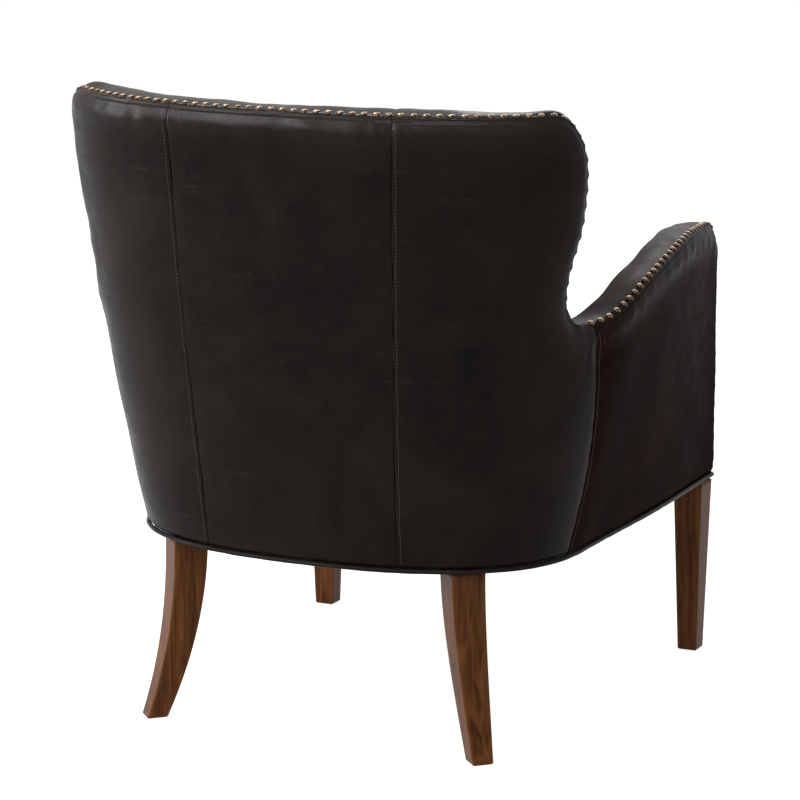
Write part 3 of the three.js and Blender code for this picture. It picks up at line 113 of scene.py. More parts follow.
# [how far in the roll has brought the nails, how far below them it starts]
TOP_ROLL = np.array([0.0112, 0.028])
WING_ROLL = np.array([0.0120, 0.016])
ARM_ROLL = np.array([0.0080, 0.024])
SOFT_SHARE = 0.74
CREST_SHARE = 0.15
WING_SWELL = 0.005
TOP_RISE_SHARE = 0.3
ARM_RISE_SHARE = 0.15
ARM_FALL = 0.004
GROOVE_DEPTH = 0.0016
GROOVE_PLACE = 0.0056
GROOVE_WIDTH = 0.0011
LIP_HEIGHT = 0.0006
LIP_PLACE = 0.0080
LIP_WIDTH = 0.0014
TOP_PUFF = 0.0014
TOP_PUFF_REACH = 0.026
POLISH_REACH = 0.026
SEAM_DEPTH = 0.0016
SEAM_WIDTH = 0.0016
PUFF = 0.0014
PUFF_REACH = 0.025
WELT_TUCK = 0.0034
WELT_TUCK_WIDTH = 0.0040
FRONT_FILLET = 0.0030
ARM_TUCK = 0.014
# [distance beyond the nail line, depth in from the shell]
RIM_PROFILE = [
    [-0.0020, 0.0110], [0.0007, 0.0130], [0.0033, 0.0160], [0.0054, 0.0194], [0.0070, 0.0236],
    [0.0079, 0.0300], [0.0073, 0.0388], [0.0042, 0.0480], [-0.0020, 0.0552], [-0.0100, 0.0588],
    [-0.0190, 0.0600],
]
LOW_PROFILE = [
    [0, 0.037], [0, 0.040], [0, 0.043], [0, 0.046], [0, 0.049],
    [-0.0002, 0.052], [-0.0008, 0.055], [-0.0022, 0.0575], [-0.0042, 0.0592], [-0.0070, 0.0600],
]
# [y behind the front plane, height] over the border under the cushion
BORDER_PROFILE = [
    [0.0030, 0.2500], [0.0006, 0.2535], [-0.0008, 0.262], [-0.0016, 0.285], [-0.0010, 0.312],
    [0.0006, 0.3235], [0.0050, 0.3310], [0.0120, 0.3330], [0.0300, 0.3332],
]
BORDER_GAP = 0.0004
RIM_STEPS = 26
PATH_STEP = 0.005
PATH_EASE = 0.008
SOFT_EASE = 0.026

# Boards: [depth in from the shell, height above the nail line] over their eased outer edge
FRAME_INSET = 0.005
FRAME_BACK = 0.027
BOARD_CROWN = [[0.005, -0.014], [0.009, -0.009], [0.0145, -0.005], [0.020, -0.003], [0.027, -0.002]]
BOARD_SETBACK = 0.014
BOARD_GAP = 0.0003
BACK_POST_WIDTH = 0.046
TOP_RAIL_HEIGHT = 0.058
ARM_RAIL_HEIGHT = 0.042
ARM_RAIL_DROP = 0.005
WING_POST_WIDTH = 0.042

# Grids
FINE = 0.0012
COARSE = 0.0068
FINE_REACH = 0.045

# Nails and stitches
NAIL_RADIUS = 0.0050
NAIL_DOME = 0.0025
BACK_NAIL_PITCH = 0.0158
ARM_NAIL_PITCH = 0.0192
NAIL_END = 0.006
NAIL_END_GAP = 0.004
NAIL_SCATTER = 0.00035
NAIL_SINK = 0.0006
NAIL_SIDES = 16
STITCH_PITCH = 0.0046
STITCH_HALF = 0.0016
STITCH_RADIUS = 0.00042
STITCH_OFFSET = 0.0052

# Cover under the seat
DUST_INSET = 0.007
DUST_THICKNESS = 0.0006
DUST_DROP = 0.0002
DUST_SAG = 0.0030
DUST_REACH = 0.070
DUST_HOLE_MARGIN = 0.0032
DUST_GRID = 0.013

# Zip behind the cushion
ZIP_HALF_LENGTH = 0.110
ZIP_HALF_HEIGHT = 0.010
ZIP_MIDDLE = 0.3969
# [share of the half height, y of the tape's outer face]
ZIP_SECTION = [[1.0, 0.1692], [0.96, 0.1712], [0.86, 0.1720], [0.30, 0.1722], [0.16, 0.1712], [0, 0.1710]]
ZIP_BACK_Y = 0.1676
TOOTH_PITCH = 0.0030
TOOTH_SIZE = (0.0016, 0.0018, 0.0026)
TOOTH_Y = 0.1724
TOOTH_SHIFT = 0.0008
TOOTH_EASE = 0.0003
TEETH_MARGIN = 0.003
PULL_X = -0.1040
# Slider, loop and tab of the pull: y, drop below the zip's middle, size and easing of the ends
PULL_PARTS = (
    (0.17535, 0.0, (0.0120, 0.0029, 0.0080), 0.0009),
    (0.17535, 0.0046, (0.0032, 0.0021, 0.0032), 0.0004),
    (0.17515, 0.0145, (0.0052, 0.0011, 0.0190), 0.0003),
)

# Welt
WELT_RADIUS = 0.0032
WELT_Z = 0.2485
WELT_INSET = 0.0004

# Legs
FRONT_LEG = (0.289, -0.3385)
FRONT_LEG_TOP = 0.042
LEG_FOOT = 0.028
REAR_LEG_STATION_SHARE = 1.5268
REAR_LEG_INSET = 0.0273
REAR_LEG_TOP = 0.046
REAR_SPLAY = (0.0372, 0.0279)
SPLAY_POWERS = (1.85, 2.7)
REAR_TAPER_POWER = 1.5
LEG_EDGE = 0.0016
FOOT_CHAMFER = 0.0014
FOOT_RING = 0.006

# Seat
SEAT_HALF_WIDTH = 0.236
SEAT_FRONT_Y = -0.371
SEAT_REAR_Y = 0.168
SEAT_FRONT_RADIUS = 0.026
SEAT_REAR_RADIUS = 0.062
SEAT_FLARE_SHARE = 0.05
DECK_BOTTOM = 0.3197
DECK_TOP = 0.3356
CUSHION_BOTTOM = 0.3409
CUSHION_TOP = 0.4529
CUSHION_WELT_RADIUS = 0.003
CUSHION_CROWN = 0.016
CUSHION_BELLY = 0.005
CUSHION_SWELL = 0.004
CUSHION_SWELL_POWER = 2.4
CUSHION_TUCK = 0.0025
DECK_EASE = 0.0012
DECK_CROWN = 0.0010

# Waves of the surfaces: (height, length)
NAIL_WAVE = (0.0006, 0.040)
PANEL_WAVE = (0.0004, 0.11)
BACK_WAVES = ((0.0012, 0.16), (0.0004, 0.045))
BORDER_WAVE = (0.0006, 0.10)
CUSHION_WAVES = ((0.0011, 0.05), (0.0012, 0.15))
WELT_WAVE_LENGTH = 0.03
WELT_WAVE_SHARE = 0.05
DUST_WAVE = (0.0004, 0.06)
NAIL_PULL = 0.0007
NAIL_PULL_REACH = 0.022
GATHER_DEPTH = 0.0011
GATHER_REACH = 0.052
CALM = 0.03

# Camera, worked out from the photograph, and light
CAMERA_PLACE = (-2.0512, 4.2665, 1.4132)
CAMERA_AIM = (0.0, 0.01235, 0.40212)
CAMERA_ROLL = math.radians(-0.0986)
CAMERA_LENS = 161.04
CAMERA_SENSOR = 36.0
FLOOR_HALF = 8.0
WORLD_LIGHT = 0.40
# Place, aim, width, height and power of each lamp
LAMPS = {
    "left_softbox": ((3.1, 1.2, 1.2), (0, 0.1, 0.5), 0.7, 1.4, 45),
    "key_softbox": ((2.1, 3.1, 2.05), (0, 0.3, 0.8), 2.2, 1.0, 100),
    "high_softbox": ((-0.6, 2.5, 3.1), (0, 0.3, 0.8), 1.3, 0.7, 45),
    "top_softbox": ((1.0, -0.6, 2.7), (0, 0.2, 0.7), 1.2, 0.6, 45),
    "front_softbox": ((0.6, -3.2, 2.2), (0, 0, 0.45), 1.4, 1.4, 35),
}


# Curves and surfaces of the shell
def share_curve(shares, at):
    """Smooth value between the rows of a table of shares."""
    table = np.array(shares, float)
    at = np.asarray(at, float)
    last = len(table) - 1
    k = np.clip(np.searchsorted(table[:, 0], at) - 1, 0, last - 1)
    slope = lambda i, j: (table[j, 1] - table[i, 1]) / (table[j, 0] - table[i, 0])
    span = table[k + 1, 0] - table[k, 0]
    t = np.clip((at - table[k, 0]) / span, 0, 1)
    start = slope(np.maximum(k - 1, 0), k + 1) * span
    end = slope(k, np.minimum(k + 2, last)) * span
    rest = 1 - t
    begun = table[k, 1] * (1 + 2 * t) * rest**2 + start * t * rest**2
    return begun + table[k + 1, 1] * t * t * (3 - 2 * t) - end * t * t * rest


def height_share(z):
    return (z - UNDERSIDE) / (NAIL_TOP - UNDERSIDE)


def grown(base, top, bow, z):
    t = height_share(z)
    return base + (top - base) * t + bow * 4 * t * (1 - t)


def half_width(z):
    return grown(FRONT_HALF_WIDTH, FRONT_HALF_WIDTH + TOP_FLARE, SIDE_BOW, z)


def back_depth(z):
    return grown(BASE_BACK_DEPTH, TOP_BACK_DEPTH, BACK_BOW, z)


def folded(station):
    """The station of the same place on the left half."""
    return np.minimum(station, END_STATION - station)


def shell_point(station, z, side_inset=0.0, back_inset=None):
    """Points of the shell, drawn in by one inset at the sides and another at the back."""
    back_inset = side_inset if back_inset is None else back_inset
    station, z, side_inset, back_inset = np.broadcast_arrays(station, z, side_inset, back_inset)
    s = 1 - folded(station)
    eased = np.maximum(s, 0)
    taper = eased**2 * (1 + TAPER_EASE_SHARE) / (eased + TAPER_EASE_SHARE)
    width = half_width(z)
    swell = SIDE_SWELL * np.sin(np.pi * eased) ** 2
    side_x = width + (FRONT_HALF_WIDTH - width) * taper + swell - side_inset
    side_y = CORNER_Y + (FRONT_Y - CORNER_Y) * s
    turn = np.clip(-s, 0, 1) * np.pi / 2
    corner_x = (width - side_inset) * np.maximum(np.cos(turn), 0) ** (2 / PLAN_POWER)
    corner_y = CORNER_Y + (back_depth(z) - back_inset) * np.sin(turn) ** (2 / PLAN_POWER)
    x = np.where(s >= 0, side_x, corner_x)
    y = np.where(s >= 0, side_y, corner_y)
    return np.stack([np.where(station > BACK_STATION, -x, x), y, z], axis=-1)


def station_at_y(y, z):
    share = np.clip((y - CORNER_Y) / back_depth(z), 0, 1)
    round_corner = 1 + np.arcsin(share ** (PLAN_POWER / 2)) * 2 / np.pi
    return np.where(y <= CORNER_Y, (y - FRONT_Y) / (CORNER_Y - FRONT_Y), round_corner)


def station_at_x(x, z):
    return 1 + np.arccos((x / half_width(z)) ** (PLAN_POWER / 2)) * 2 / np.pi


def shell_step(station, z):
    """A short step along the shell, at one height."""
    return shell_point(station + SLIDE_SHARE, z) - shell_point(station - SLIDE_SHARE, z)


def station_length(station, z):
    """Length along the shell, at one height, for each whole station."""
    return np.linalg.norm(shell_step(station, z), axis=-1) / (2 * SLIDE_SHARE)


def slide_station(station, z, length):
    return station + length / station_length(station, z)


def shell_normal(station, z):
    return unit(np.cross(shell_step(station, z), [0.0, 0.0, 1.0]))


def wing_edge_y(z):
    share = np.clip((z - CROTCH_Z) / (NAIL_TOP - CROTCH_Z), 0, 1)
    return WING_FRONT_Y + WING_SETBACK * share_curve(WING_EDGE_SHARES, share)


def arm_line_z(y):
    share = np.minimum((y - FRONT_Y) / (CROTCH_Y - FRONT_Y), 1)
    return CROTCH_Z + ARM_RISE * share_curve(ARM_LINE_SHARES, share)


def arm_seam_y(z):
    share = (z - UNDERSIDE) / (CROTCH_Z - UNDERSIDE)
    return ARM_SEAM_FOOT_Y + ARM_SEAM_SHIFT * share_curve(ARM_SEAM_SHARES, share)


def back_seam_station(z):
    seam_x = BACK_SEAM_FOOT_X + (BACK_SEAM_TOP_X - BACK_SEAM_FOOT_X) * height_share(z)
    return station_at_x(seam_x, z)


JOINT_STATION = float(station_at_y(CROTCH_Y, CROTCH_Z))


def inside_point(station, z, share):
    """Points of the inside surface, or of the roll that leads to it, by their share of the wall."""
    lean = smooth(0, 1, (NAIL_TOP - z) / (NAIL_TOP - LUMBAR_Z))
    middle = BACK_TOP_WALL + (BACK_LUMBAR_WALL - BACK_TOP_WALL) * lean
    beyond = np.clip((folded(station) - JOINT_STATION) / (BACK_STATION - JOINT_STATION), 0, 1)
    padded = ARM_WALL + (middle - ARM_WALL) * (1 - (1 - beyond) ** PAD_POWER)
    return shell_point(station, z, ARM_WALL * share, padded * share)


# Small helpers
def unit(vectors):
    return vectors / np.maximum(np.linalg.norm(vectors, axis=-1, keepdims=True), 1e-12)


def smooth(low, high, value):
    t = np.clip((value - low) / (high - low), 0, 1)
    return t * t * (3 - 2 * t)


def bump(distance, width):
    return np.exp(-((distance / width) ** 2))


def run_length(points):
    steps = np.linalg.norm(np.diff(points, axis=0), axis=1)
    return np.concatenate([[0.0], np.cumsum(steps)])


def picked(rows, reach, at):
    """Rows at places between those whose lengths along the line are given."""
    return np.stack([np.interp(at, reach, column) for column in rows.T], axis=1)


def evenly(rows, count, ends=True):
    """Rows at even steps along the line that they make."""
    reach = run_length(rows)
    return picked(rows, reach, np.linspace(0, reach[-1], count, endpoint=ends))


def spline(rows, count):
    """Evenly spaced points on a smooth curve through the rows."""
    rows = np.array(rows, float)
    padded = np.vstack([2 * rows[0] - rows[1], rows, 2 * rows[-1] - rows[-2]])
    made = []
    for a, b, c, d in zip(padded, padded[1:], padded[2:], padded[3:]):
        t = np.linspace(0, 1, 12, endpoint=False)[:, None]
        made.append(0.5 * (2 * b + (c - a) * t + (2 * a - 5 * b + 4 * c - d) * t**2
                           + (3 * b - a - 3 * c + d) * t**3))
    return evenly(np.vstack([*made, rows[-1:]]), count)


def ripple(points, length, seed, count=10):
    """Smooth field between about -1 and 1 with waves of about that length."""
    draw = np.random.default_rng(seed)
    total = np.zeros(points.shape[:-1])
    for _ in range(count):
        way = unit(draw.normal(size=3))
        pace = 2 * math.pi / length * draw.uniform(0.6, 1.4)
        total += np.cos(points @ way * pace + draw.uniform(0, 2 * math.pi))
    return total / math.sqrt(count)
def waves(points, size, seed):
    """A ripple of that height and length."""
    return size[0] * ripple(points, size[1], seed)
def spaced(length, fine=FINE, coarse=COARSE, reach=FINE_REACH):
    """Shares of a length, close together near both ends."""
    places = [0.0]
    while places[-1] < length / 2:
        near = min(places[-1] / reach, 1)
        places.append(places[-1] + fine + (coarse - fine) * near)
    half = np.array(places) * (length / 2) / places[-1]
    return np.concatenate([half, (length - half[:-1])[::-1]]) / length


def nearest(points, line, block=4000):
    """Distance from each point to a line of points, and the index of the line's nearest point."""
    flat = points.reshape(-1, points.shape[-1])
    distance = np.empty(len(flat))
    spot = np.empty(len(flat), int)
    for k in range(0, len(flat), block):
        gaps = np.linalg.norm(flat[k:k + block, None] - line[None], axis=-1)
        best = gaps.argmin(axis=1)
        distance[k:k + block] = gaps[np.arange(len(best)), best]
        spot[k:k + block] = best
    return distance.reshape(points.shape[:-1]), spot.reshape(points.shape[:-1])


# Meshes
def numbered(grid):
    return np.arange(grid.shape[0] * grid.shape[1]).reshape(grid.shape[:2])


def quads(index, turned=False):
    """Faces between the numbered points of a grid."""
    corners = [index[:-1, :-1], index[1:, :-1], index[1:, 1:], index[:-1, 1:]]
    order = (0, 3, 2, 1) if turned else (0, 1, 2, 3)
    return np.stack([corners[k].ravel() for k in order], axis=1).tolist()


def grid_faces(grid):
    return quads(numbered(grid))


def loop_faces(index):
    """Faces of a numbered grid whose rows close on themselves."""
    return quads(np.hstack([index, index[:, :1]]), turned=True)


def split_faces(faces):
    """Every face as one quad, or as a fan of triangles that repeat their last corner."""
    quads = []
    for face in faces:
        if len(face) == 4:
            quads.append(face)
        else:
            quads += [[face[0], b, c, c] for b, c in zip(face[1:], face[2:])]
    return np.array(quads)


def face_normals(points, faces):
    quads = split_faces(faces)
    across = points[quads[:, 2]] - points[quads[:, 0]]
    over = points[quads[:, 3]] - points[quads[:, 1]]
    return quads, np.cross(across, over)


def vertex_normals(points, faces):
    quads, normals = face_normals(points, faces)
    total = np.zeros_like(points)
    for k in range(4):
        np.add.at(total, quads[:, k], normals)
    return unit(total)


def turned_outward(points, faces):
    quads, normals = face_normals(points, faces)
    volume = (points[quads].mean(axis=1) * normals).sum()
    return faces if volume > 0 else [face[::-1] for face in faces]


def linked(name, data):
    made = bpy.data.objects.new(name, data)
    bpy.context.scene.collection.objects.link(made)
    return made


def add_piece(name, points, faces, material, nodes=(), body="frame", closed=True):
    """A piece in place of the frame's nodes, which are hidden."""
    points = np.asarray(points, float).reshape(-1, 3)
    faces = turned_outward(points, faces) if closed else faces
    mesh = bpy.data.meshes.new(name)
    mesh.from_pydata(points.tolist(), [], faces)
    mesh.shade_smooth()
    mesh.materials.append(material)
    piece = linked(name, mesh)
    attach(piece, body)
    if nodes:
        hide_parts(*nodes)
    return piece


def paint(piece, name, values):
    """Stores a number for each point, which the material reads."""
    layer = piece.data.attributes.new(name, "FLOAT", "POINT")
    layer.data.foreach_set("value", np.asarray(values, np.float32).ravel())


def border_of(faces):
    """Edges that only one face has, in that face's order."""
    edges = {}
    for face in faces:
        for a, b in zip(face, face[1:] + face[:1]):
            edges[a, b] = True
    return [(a, b) for a, b in edges if (b, a) not in edges]


def layered(front, back, faces):
    """Closed body between an open surface and its other side."""
    front, back = front.reshape(-1, 3), back.reshape(-1, 3)
    shift = len(front)
    closed = faces + [[k + shift for k in reversed(face)] for face in faces]
    closed += [[b, a, a + shift, b + shift] for a, b in border_of(faces)]
    return np.vstack([front, back]), closed


def renumbered(faces):
    """The points that the faces use, and the faces by the new numbers of these points."""
    faces = np.array(faces)
    used, index = np.unique(faces, return_inverse=True)
    return used, index.reshape(faces.shape).tolist()


def circles(side, over, count):
    """Rings of unit size, each between its two directions."""
    turns = np.linspace(0, 2 * np.pi, count, endpoint=False)[None, :, None]
    return np.cos(turns) * side[:, None] + np.sin(turns) * over[:, None]


def tube_points(path, radius, sides, normals=None, closed=False):
    """Rings round a path, with one side of each ring towards its normal."""
    path = np.asarray(path, float)
    before = np.roll(path, 1, axis=0)
    after = np.roll(path, -1, axis=0)
    if not closed:
        before[0] = path[0]
        after[-1] = path[-1]
    along = unit(after - before)
    up = np.broadcast_to([0.0, 0.0, 1.0], path.shape) if normals is None else normals
    side = unit(np.cross(along, up))
    reach = np.broadcast_to(radius, len(path))[:, None, None]
    return path[:, None] + reach * circles(side, np.cross(side, along), sides)


def tube_faces(rings, closed=False):
    """Faces round a tube, which joins its own start or has two flat ends."""
    index = numbered(rings)
    if closed:
        return loop_faces(np.vstack([index, index[:1]]))
    return loop_faces(index) + [index[0, ::-1].tolist(), index[-1].tolist()]


def join_copies(points, faces, count):
    """Faces of many copies whose points follow each other."""
    shift = len(points) // count
    return [[k + n * shift for k in face] for n in range(count) for face in faces]


# Node materials
class Finish:
    """The nodes of a material or of the world, by short names."""

    def __init__(self, owner):
        owner.use_nodes = True
        self.owner = owner
        self.nodes = owner.node_tree.nodes
        self.links = owner.node_tree.links
        self.place = self.add("ShaderNodeTexCoord").outputs["Object"]

    def add(self, kind, inputs=(), **settings):
        node = self.nodes.new(kind)
        for name, value in settings.items():
            setattr(node, name, value)
        for name, value in dict(inputs).items():
            self.feed(node.inputs[name], value)
        return node

    def feed(self, socket, value):
        if isinstance(value, bpy.types.NodeSocket):
            self.links.new(value, socket)
        else:
            socket.default_value = value

    def stretched(self, scale, turn=(0, 0, 0)):
        inputs = {"Vector": self.place, "Scale": scale, "Rotation": turn}
        return self.add("ShaderNodeMapping", inputs).outputs[0]

    def noise(self, scale, detail=3.0, rough=0.55, place=None, bend=0.0):
        inputs = {"Vector": place or self.place, "Scale": scale, "Detail": detail,
                  "Roughness": rough, "Distortion": bend}
        return self.add("ShaderNodeTexNoise", inputs).outputs[0]

    def cells(self, scale, feature="F1", place=None):
        inputs = {"Vector": place or self.place, "Scale": scale}
        return self.add("ShaderNodeTexVoronoi", inputs, feature=feature).outputs["Distance"]

    def sum(self, kind, a, b):
        return self.add("ShaderNodeMath", {0: a, 1: b}, operation=kind).outputs[0]

    def between(self, value, low, high, to_low=0.0, to_high=1.0):
        inputs = {"Value": value, "From Min": low, "From Max": high, "To Min": to_low, "To Max": to_high}
        return self.add("ShaderNodeMapRange", inputs, clamp=True).outputs[0]

    def mix(self, share, a, b):
        return self.add("ShaderNodeMix", {0: share, 6: a, 7: b}, data_type="RGBA").outputs[2]

    def shade(self, value, low, high, a, b, least=0.0, most=1.0):
        """One colour that turns into another while the value rises."""
        return self.mix(self.between(value, low, high, least, most), a, b)

    def bump(self, height, distance, strength=1.0, normal=None):
        node = self.add("ShaderNodeBump", {"Height": height, "Distance": distance, "Strength": strength})
        if normal is not None:
            self.links.new(normal, node.inputs["Normal"])
        return node.outputs[0]

    def attribute(self, name):
        return self.add("ShaderNodeAttribute", attribute_name=name).outputs["Fac"]

    def set(self, **values):
        for name, value in values.items():
            self.feed(self.nodes["Principled BSDF"].inputs[name.replace("_", " ")], value)
        return self.owner


def new_finish(name):
    return Finish(bpy.data.materials.new(name))


def colour(red, green, blue):
    """A colour given as it looks on a screen, from 0 to 255."""
    linear = [(v / 255 + 0.055) ** 2.4 / 1.055**2.4 if v > 10 else v / 255 / 12.92
              for v in (red, green, blue)]
    return (*linear, 1.0)


def leather_finish(name, dark, brown, scuff, shine, polished=0.0, gloss=0.32):
    """Leather in two tones with a scuffed grain, shinier where it is painted as polished."""
    finish = new_finish(name)
    patches = finish.noise(7.0, 4.0, 0.6, bend=0.6)
    blotches = finish.noise(34.0, 5.0, 0.62)
    streaks = finish.noise(11.0, 7.0, 0.7, finish.stretched((1.0, 1.0, 9.0), (0.1, 0.06, 0.0)), 0.4)
    creases = finish.cells(46.0, "DISTANCE_TO_EDGE", finish.stretched((1.0, 1.0, 1.9)))
    pores = finish.cells(820.0)
    grain = finish.noise(520.0, 2.0, 0.6)

    tone = finish.shade(patches, 0.36, 0.66, dark, brown)
    toned = finish.shade(blotches, 0.40, 0.74, tone, brown, 0.0, 0.55)
    scuffed = finish.shade(streaks, 0.62, 0.80, toned, scuff, 0.0, 0.40)
    veins = finish.sum("MULTIPLY", finish.between(creases, 0.0, 0.022, 1.0, 0.0),
                       finish.between(streaks, 0.48, 0.66, 0.0, 0.55))
    worn = finish.mix(veins, scuffed, scuff)
    rough = finish.sum("ADD", finish.between(blotches, 0.3, 0.7, gloss - 0.06, gloss + 0.08),
                       finish.between(streaks, 0.52, 0.74, 0.0, 0.12))

    fine = finish.bump(pores, 0.00010, 0.35)
    grained = finish.bump(grain, 0.00008, 0.30, fine)
    creased = finish.bump(finish.between(creases, 0.0, 0.045), 0.00016, 0.16, grained)
    rolled = finish.bump(blotches, 0.0007, 0.22, creased)
    level = finish.between(finish.attribute("polish"), 0.0, 1.0, shine, shine + polished)
    return finish.set(Base_Color=worn, Roughness=rough, Normal=rolled, Specular_IOR_Level=level)


def wood_finish(name, dark, light, gloss):
    """Straight grain along the height, rubbed lighter where it is painted as worn."""
    finish = new_finish(name)
    along = finish.stretched((1.0, 1.0, 0.045), (0.03, 0.02, 0.0))
    bands = finish.noise(95.0, 4.0, 0.6, along, 1.2)
    pores = finish.noise(900.0, 2.0, 0.5, along)
    clouds = finish.noise(9.0, 3.0)

    grained = finish.shade(bands, 0.34, 0.66, dark, light)
    clouded = finish.shade(clouds, 0.35, 0.7, grained, dark, 0.0, 0.30)
    lined = finish.shade(pores, 0.60, 0.72, clouded, dark, 0.0, 0.45)
    wear = finish.sum("MULTIPLY", finish.attribute("wear"), finish.between(clouds, 0.3, 0.7, 0.15, 0.5))
    rough = finish.between(bands, 0.3, 0.7, gloss - 0.04, gloss + 0.08)
    relief = finish.bump(pores, 0.00012, 0.35, finish.bump(bands, 0.0002, 0.25))
    return finish.set(Base_Color=finish.mix(wear, lined, light), Roughness=rough, Normal=relief,
                      Specular_IOR_Level=0.06)


def brass_finish(name):
    """Aged brass, rubbed bright on the crowns with painted glints there, and with painted shade round the
    foot of each head, by the painted rise.
    """
    finish = new_finish(name)
    rise = finish.attribute("rise")
    spots = finish.noise(420.0, 4.0, 0.65)
    patina = finish.shade(finish.noise(60.0, 2.0), 0.35, 0.65, colour(82, 62, 46), colour(50, 37, 29))
    # lighter specks on the crowns: rubbed wear, and also painted glints
    crown_glint = finish.shade(spots, 0.50, 0.64, patina, colour(176, 146, 108))
    aged = finish.shade(rise, 0.35, 0.95, patina, crown_glint)
    # near-black at the foot of each head: painted shade where the head meets the leather
    dark = finish.shade(rise, 0.0, 0.3, colour(20, 15, 12), aged)
    return finish.set(Base_Color=dark, Roughness=finish.between(spots, 0.35, 0.7, 0.22, 0.42),
                      Metallic=1.0, Normal=finish.bump(spots, 0.00012, 0.4))


def steel_finish(name):
    finish = new_finish(name)
    drawn = finish.noise(300.0, 3.0, 0.6, finish.stretched((1.0, 0.15, 1.0)))
    tone = finish.shade(drawn, 0.3, 0.7, colour(120, 122, 126), colour(160, 162, 165))
    return finish.set(Base_Color=tone, Roughness=finish.between(drawn, 0.3, 0.7, 0.28, 0.45),
                      Metallic=1.0, Normal=finish.bump(drawn, 0.00005, 0.3))


def cloth_finish(name, dark, light):
    """Plain weave of two crossing waves."""
    finish = new_finish(name)
    inputs = {"Vector": finish.place, "Scale": 620.0, "Distortion": 0.4}
    warp, weft = (finish.add("ShaderNodeTexWave", inputs, bands_direction=way).outputs["Fac"] for way in "XY")
    weave = finish.sum("MAXIMUM", warp, weft)
    tone = finish.shade(finish.noise(160.0, 5.0, 0.7), 0.3, 0.7, dark, light)
    return finish.set(Base_Color=finish.shade(weave, 0.2, 0.9, dark, tone), Roughness=0.92,
                      Sheen_Weight=0.25, Sheen_Roughness=0.5, Normal=finish.bump(weave, 0.0003, 0.5),
                      Specular_IOR_Level=0.15)


def foam_finish(name):
    finish = new_finish(name)
    tone = finish.shade(finish.noise(20.0, 4.0), 0.3, 0.7, colour(222, 206, 160), colour(236, 224, 186))
    return finish.set(Base_Color=tone, Roughness=0.95, Normal=finish.bump(finish.cells(700.0), 0.0005, 0.8))


def thread_finish(name, tone):
    finish = new_finish(name)
    twist = finish.noise(2600.0, 2.0)
    twisted = finish.shade(twist, 0.35, 0.65, tone, colour(30, 26, 24))
    return finish.set(Base_Color=twisted, Roughness=0.55, Normal=finish.bump(twist, 0.0001, 0.5))


BACK_LEATHER = leather_finish("back_leather", colour(14, 11, 10), colour(27, 21, 18), colour(46, 39, 35),
                              shine=0.040, polished=0.100)
ARM_LEATHER = leather_finish("arm_leather", colour(21, 14, 13), colour(36, 23, 21), colour(50, 39, 35),
                             shine=0.001, polished=0.012)
ARM_TOP_LEATHER = leather_finish("arm_top_leather", colour(21, 16, 14), colour(36, 28, 24),
                                 colour(54, 46, 41), shine=0.008)
INSIDE_LEATHER = leather_finish("inside_leather", colour(21, 17, 15), colour(36, 30, 25),
                                colour(56, 49, 43), shine=0.035)
WELT_LEATHER = leather_finish("welt_leather", colour(18, 15, 14), colour(26, 22, 20),
                              colour(60, 56, 53), shine=0.06, gloss=0.26)
WALNUT = wood_finish("walnut", colour(58, 31, 13), colour(106, 65, 33), 0.34)
HARDWOOD = wood_finish("hardwood", colour(158, 122, 82), colour(190, 156, 112), 0.7)
BRASS = brass_finish("aged_brass")
STEEL = steel_finish("drawn_steel")
BLACK_CLOTH = cloth_finish("black_cloth", colour(20, 20, 21), colour(46, 46, 48))
FOAM = foam_finish("foam")
DARK_THREAD = thread_finish("dark_thread", colour(70, 62, 56))


# Lines on the shell, as rows of [station, height]
def line_points(line, inset=0.0):
    return shell_point(line[:, 0], line[:, 1], inset)


def sampled(line, shares):
    reach = run_length(line_points(line))
    return picked(line[:, :2], reach, shares * reach[-1])


def to_side(station, side):
    return station if side == "left" else END_STATION - station


def on_side(line, side):
    """The line itself on the left, or its mirror image on the right."""
    return np.column_stack([to_side(line[:, 0], side), line[:, 1:]])


def eased_path(values, ends, width):
    """A gaussian average along a path whose ends are continued by their mirror images."""
    reach = int(3 * width)
    before = 2 * values[0] - values[reach:0:-1]
    after = ends - values[-2:-reach - 2:-1] if ends is not None else values[-2:-reach - 2:-1]
    weights = np.exp(-0.5 * (np.arange(-reach, reach + 1) / width) ** 2)
    return np.convolve(np.concatenate([before, values, after]), weights / weights.sum(), "valid")


def half_rim(ease):
    """Left half of the line that the wing and top nails follow, with where it turns onto the top."""
    low_z = np.linspace(INSIDE_BOTTOM, CROTCH_Z - 0.004, 60)
    joint = float(station_at_y(CROTCH_Y + COVER_GAP, CROTCH_Z))
    wing_z = np.linspace(CROTCH_Z + 0.004, NAIL_TOP, 80)
    wing = station_at_y(wing_edge_y(wing_z) - WING_SWELL, wing_z)
    top = np.linspace(wing[-1], BACK_STATION, 80)[1:]
    station = np.concatenate([np.full(len(low_z), joint), wing, top])
    z = np.concatenate([low_z, wing_z, np.full(len(top), NAIL_TOP)])
    reach = run_length(shell_point(station, z))
    steps = int(round(reach[-1] / PATH_STEP))
    corner = int(round(reach[len(low_z) + len(wing_z) - 1] / reach[-1] * steps))
    station, z = picked(np.stack([station, z], axis=1), reach, np.linspace(0, reach[-1], steps + 1)).T
    width = ease / PATH_STEP
    line = [eased_path(station, 2 * BACK_STATION, width), eased_path(z, None, width)]
    return np.stack(line, axis=1), corner


def whole_rim(half):
    return np.vstack([half, on_side(half, "right")[-2::-1]])


def with_rolls(half, corner):
    """The half rim with the radius and the drop of its roll, which change from arm to wing to top."""
    beyond = (np.arange(len(half)) - corner) * PATH_STEP
    to_wing = smooth(CROTCH_Z, CROTCH_Z + 0.03, half[:, 1])[:, None]
    to_top = smooth(-0.02, 0.03, beyond)[:, None]
    side = (1 - to_wing) * ARM_ROLL + to_wing * WING_ROLL
    return np.column_stack([half, (1 - to_top) * side + to_top * TOP_ROLL])


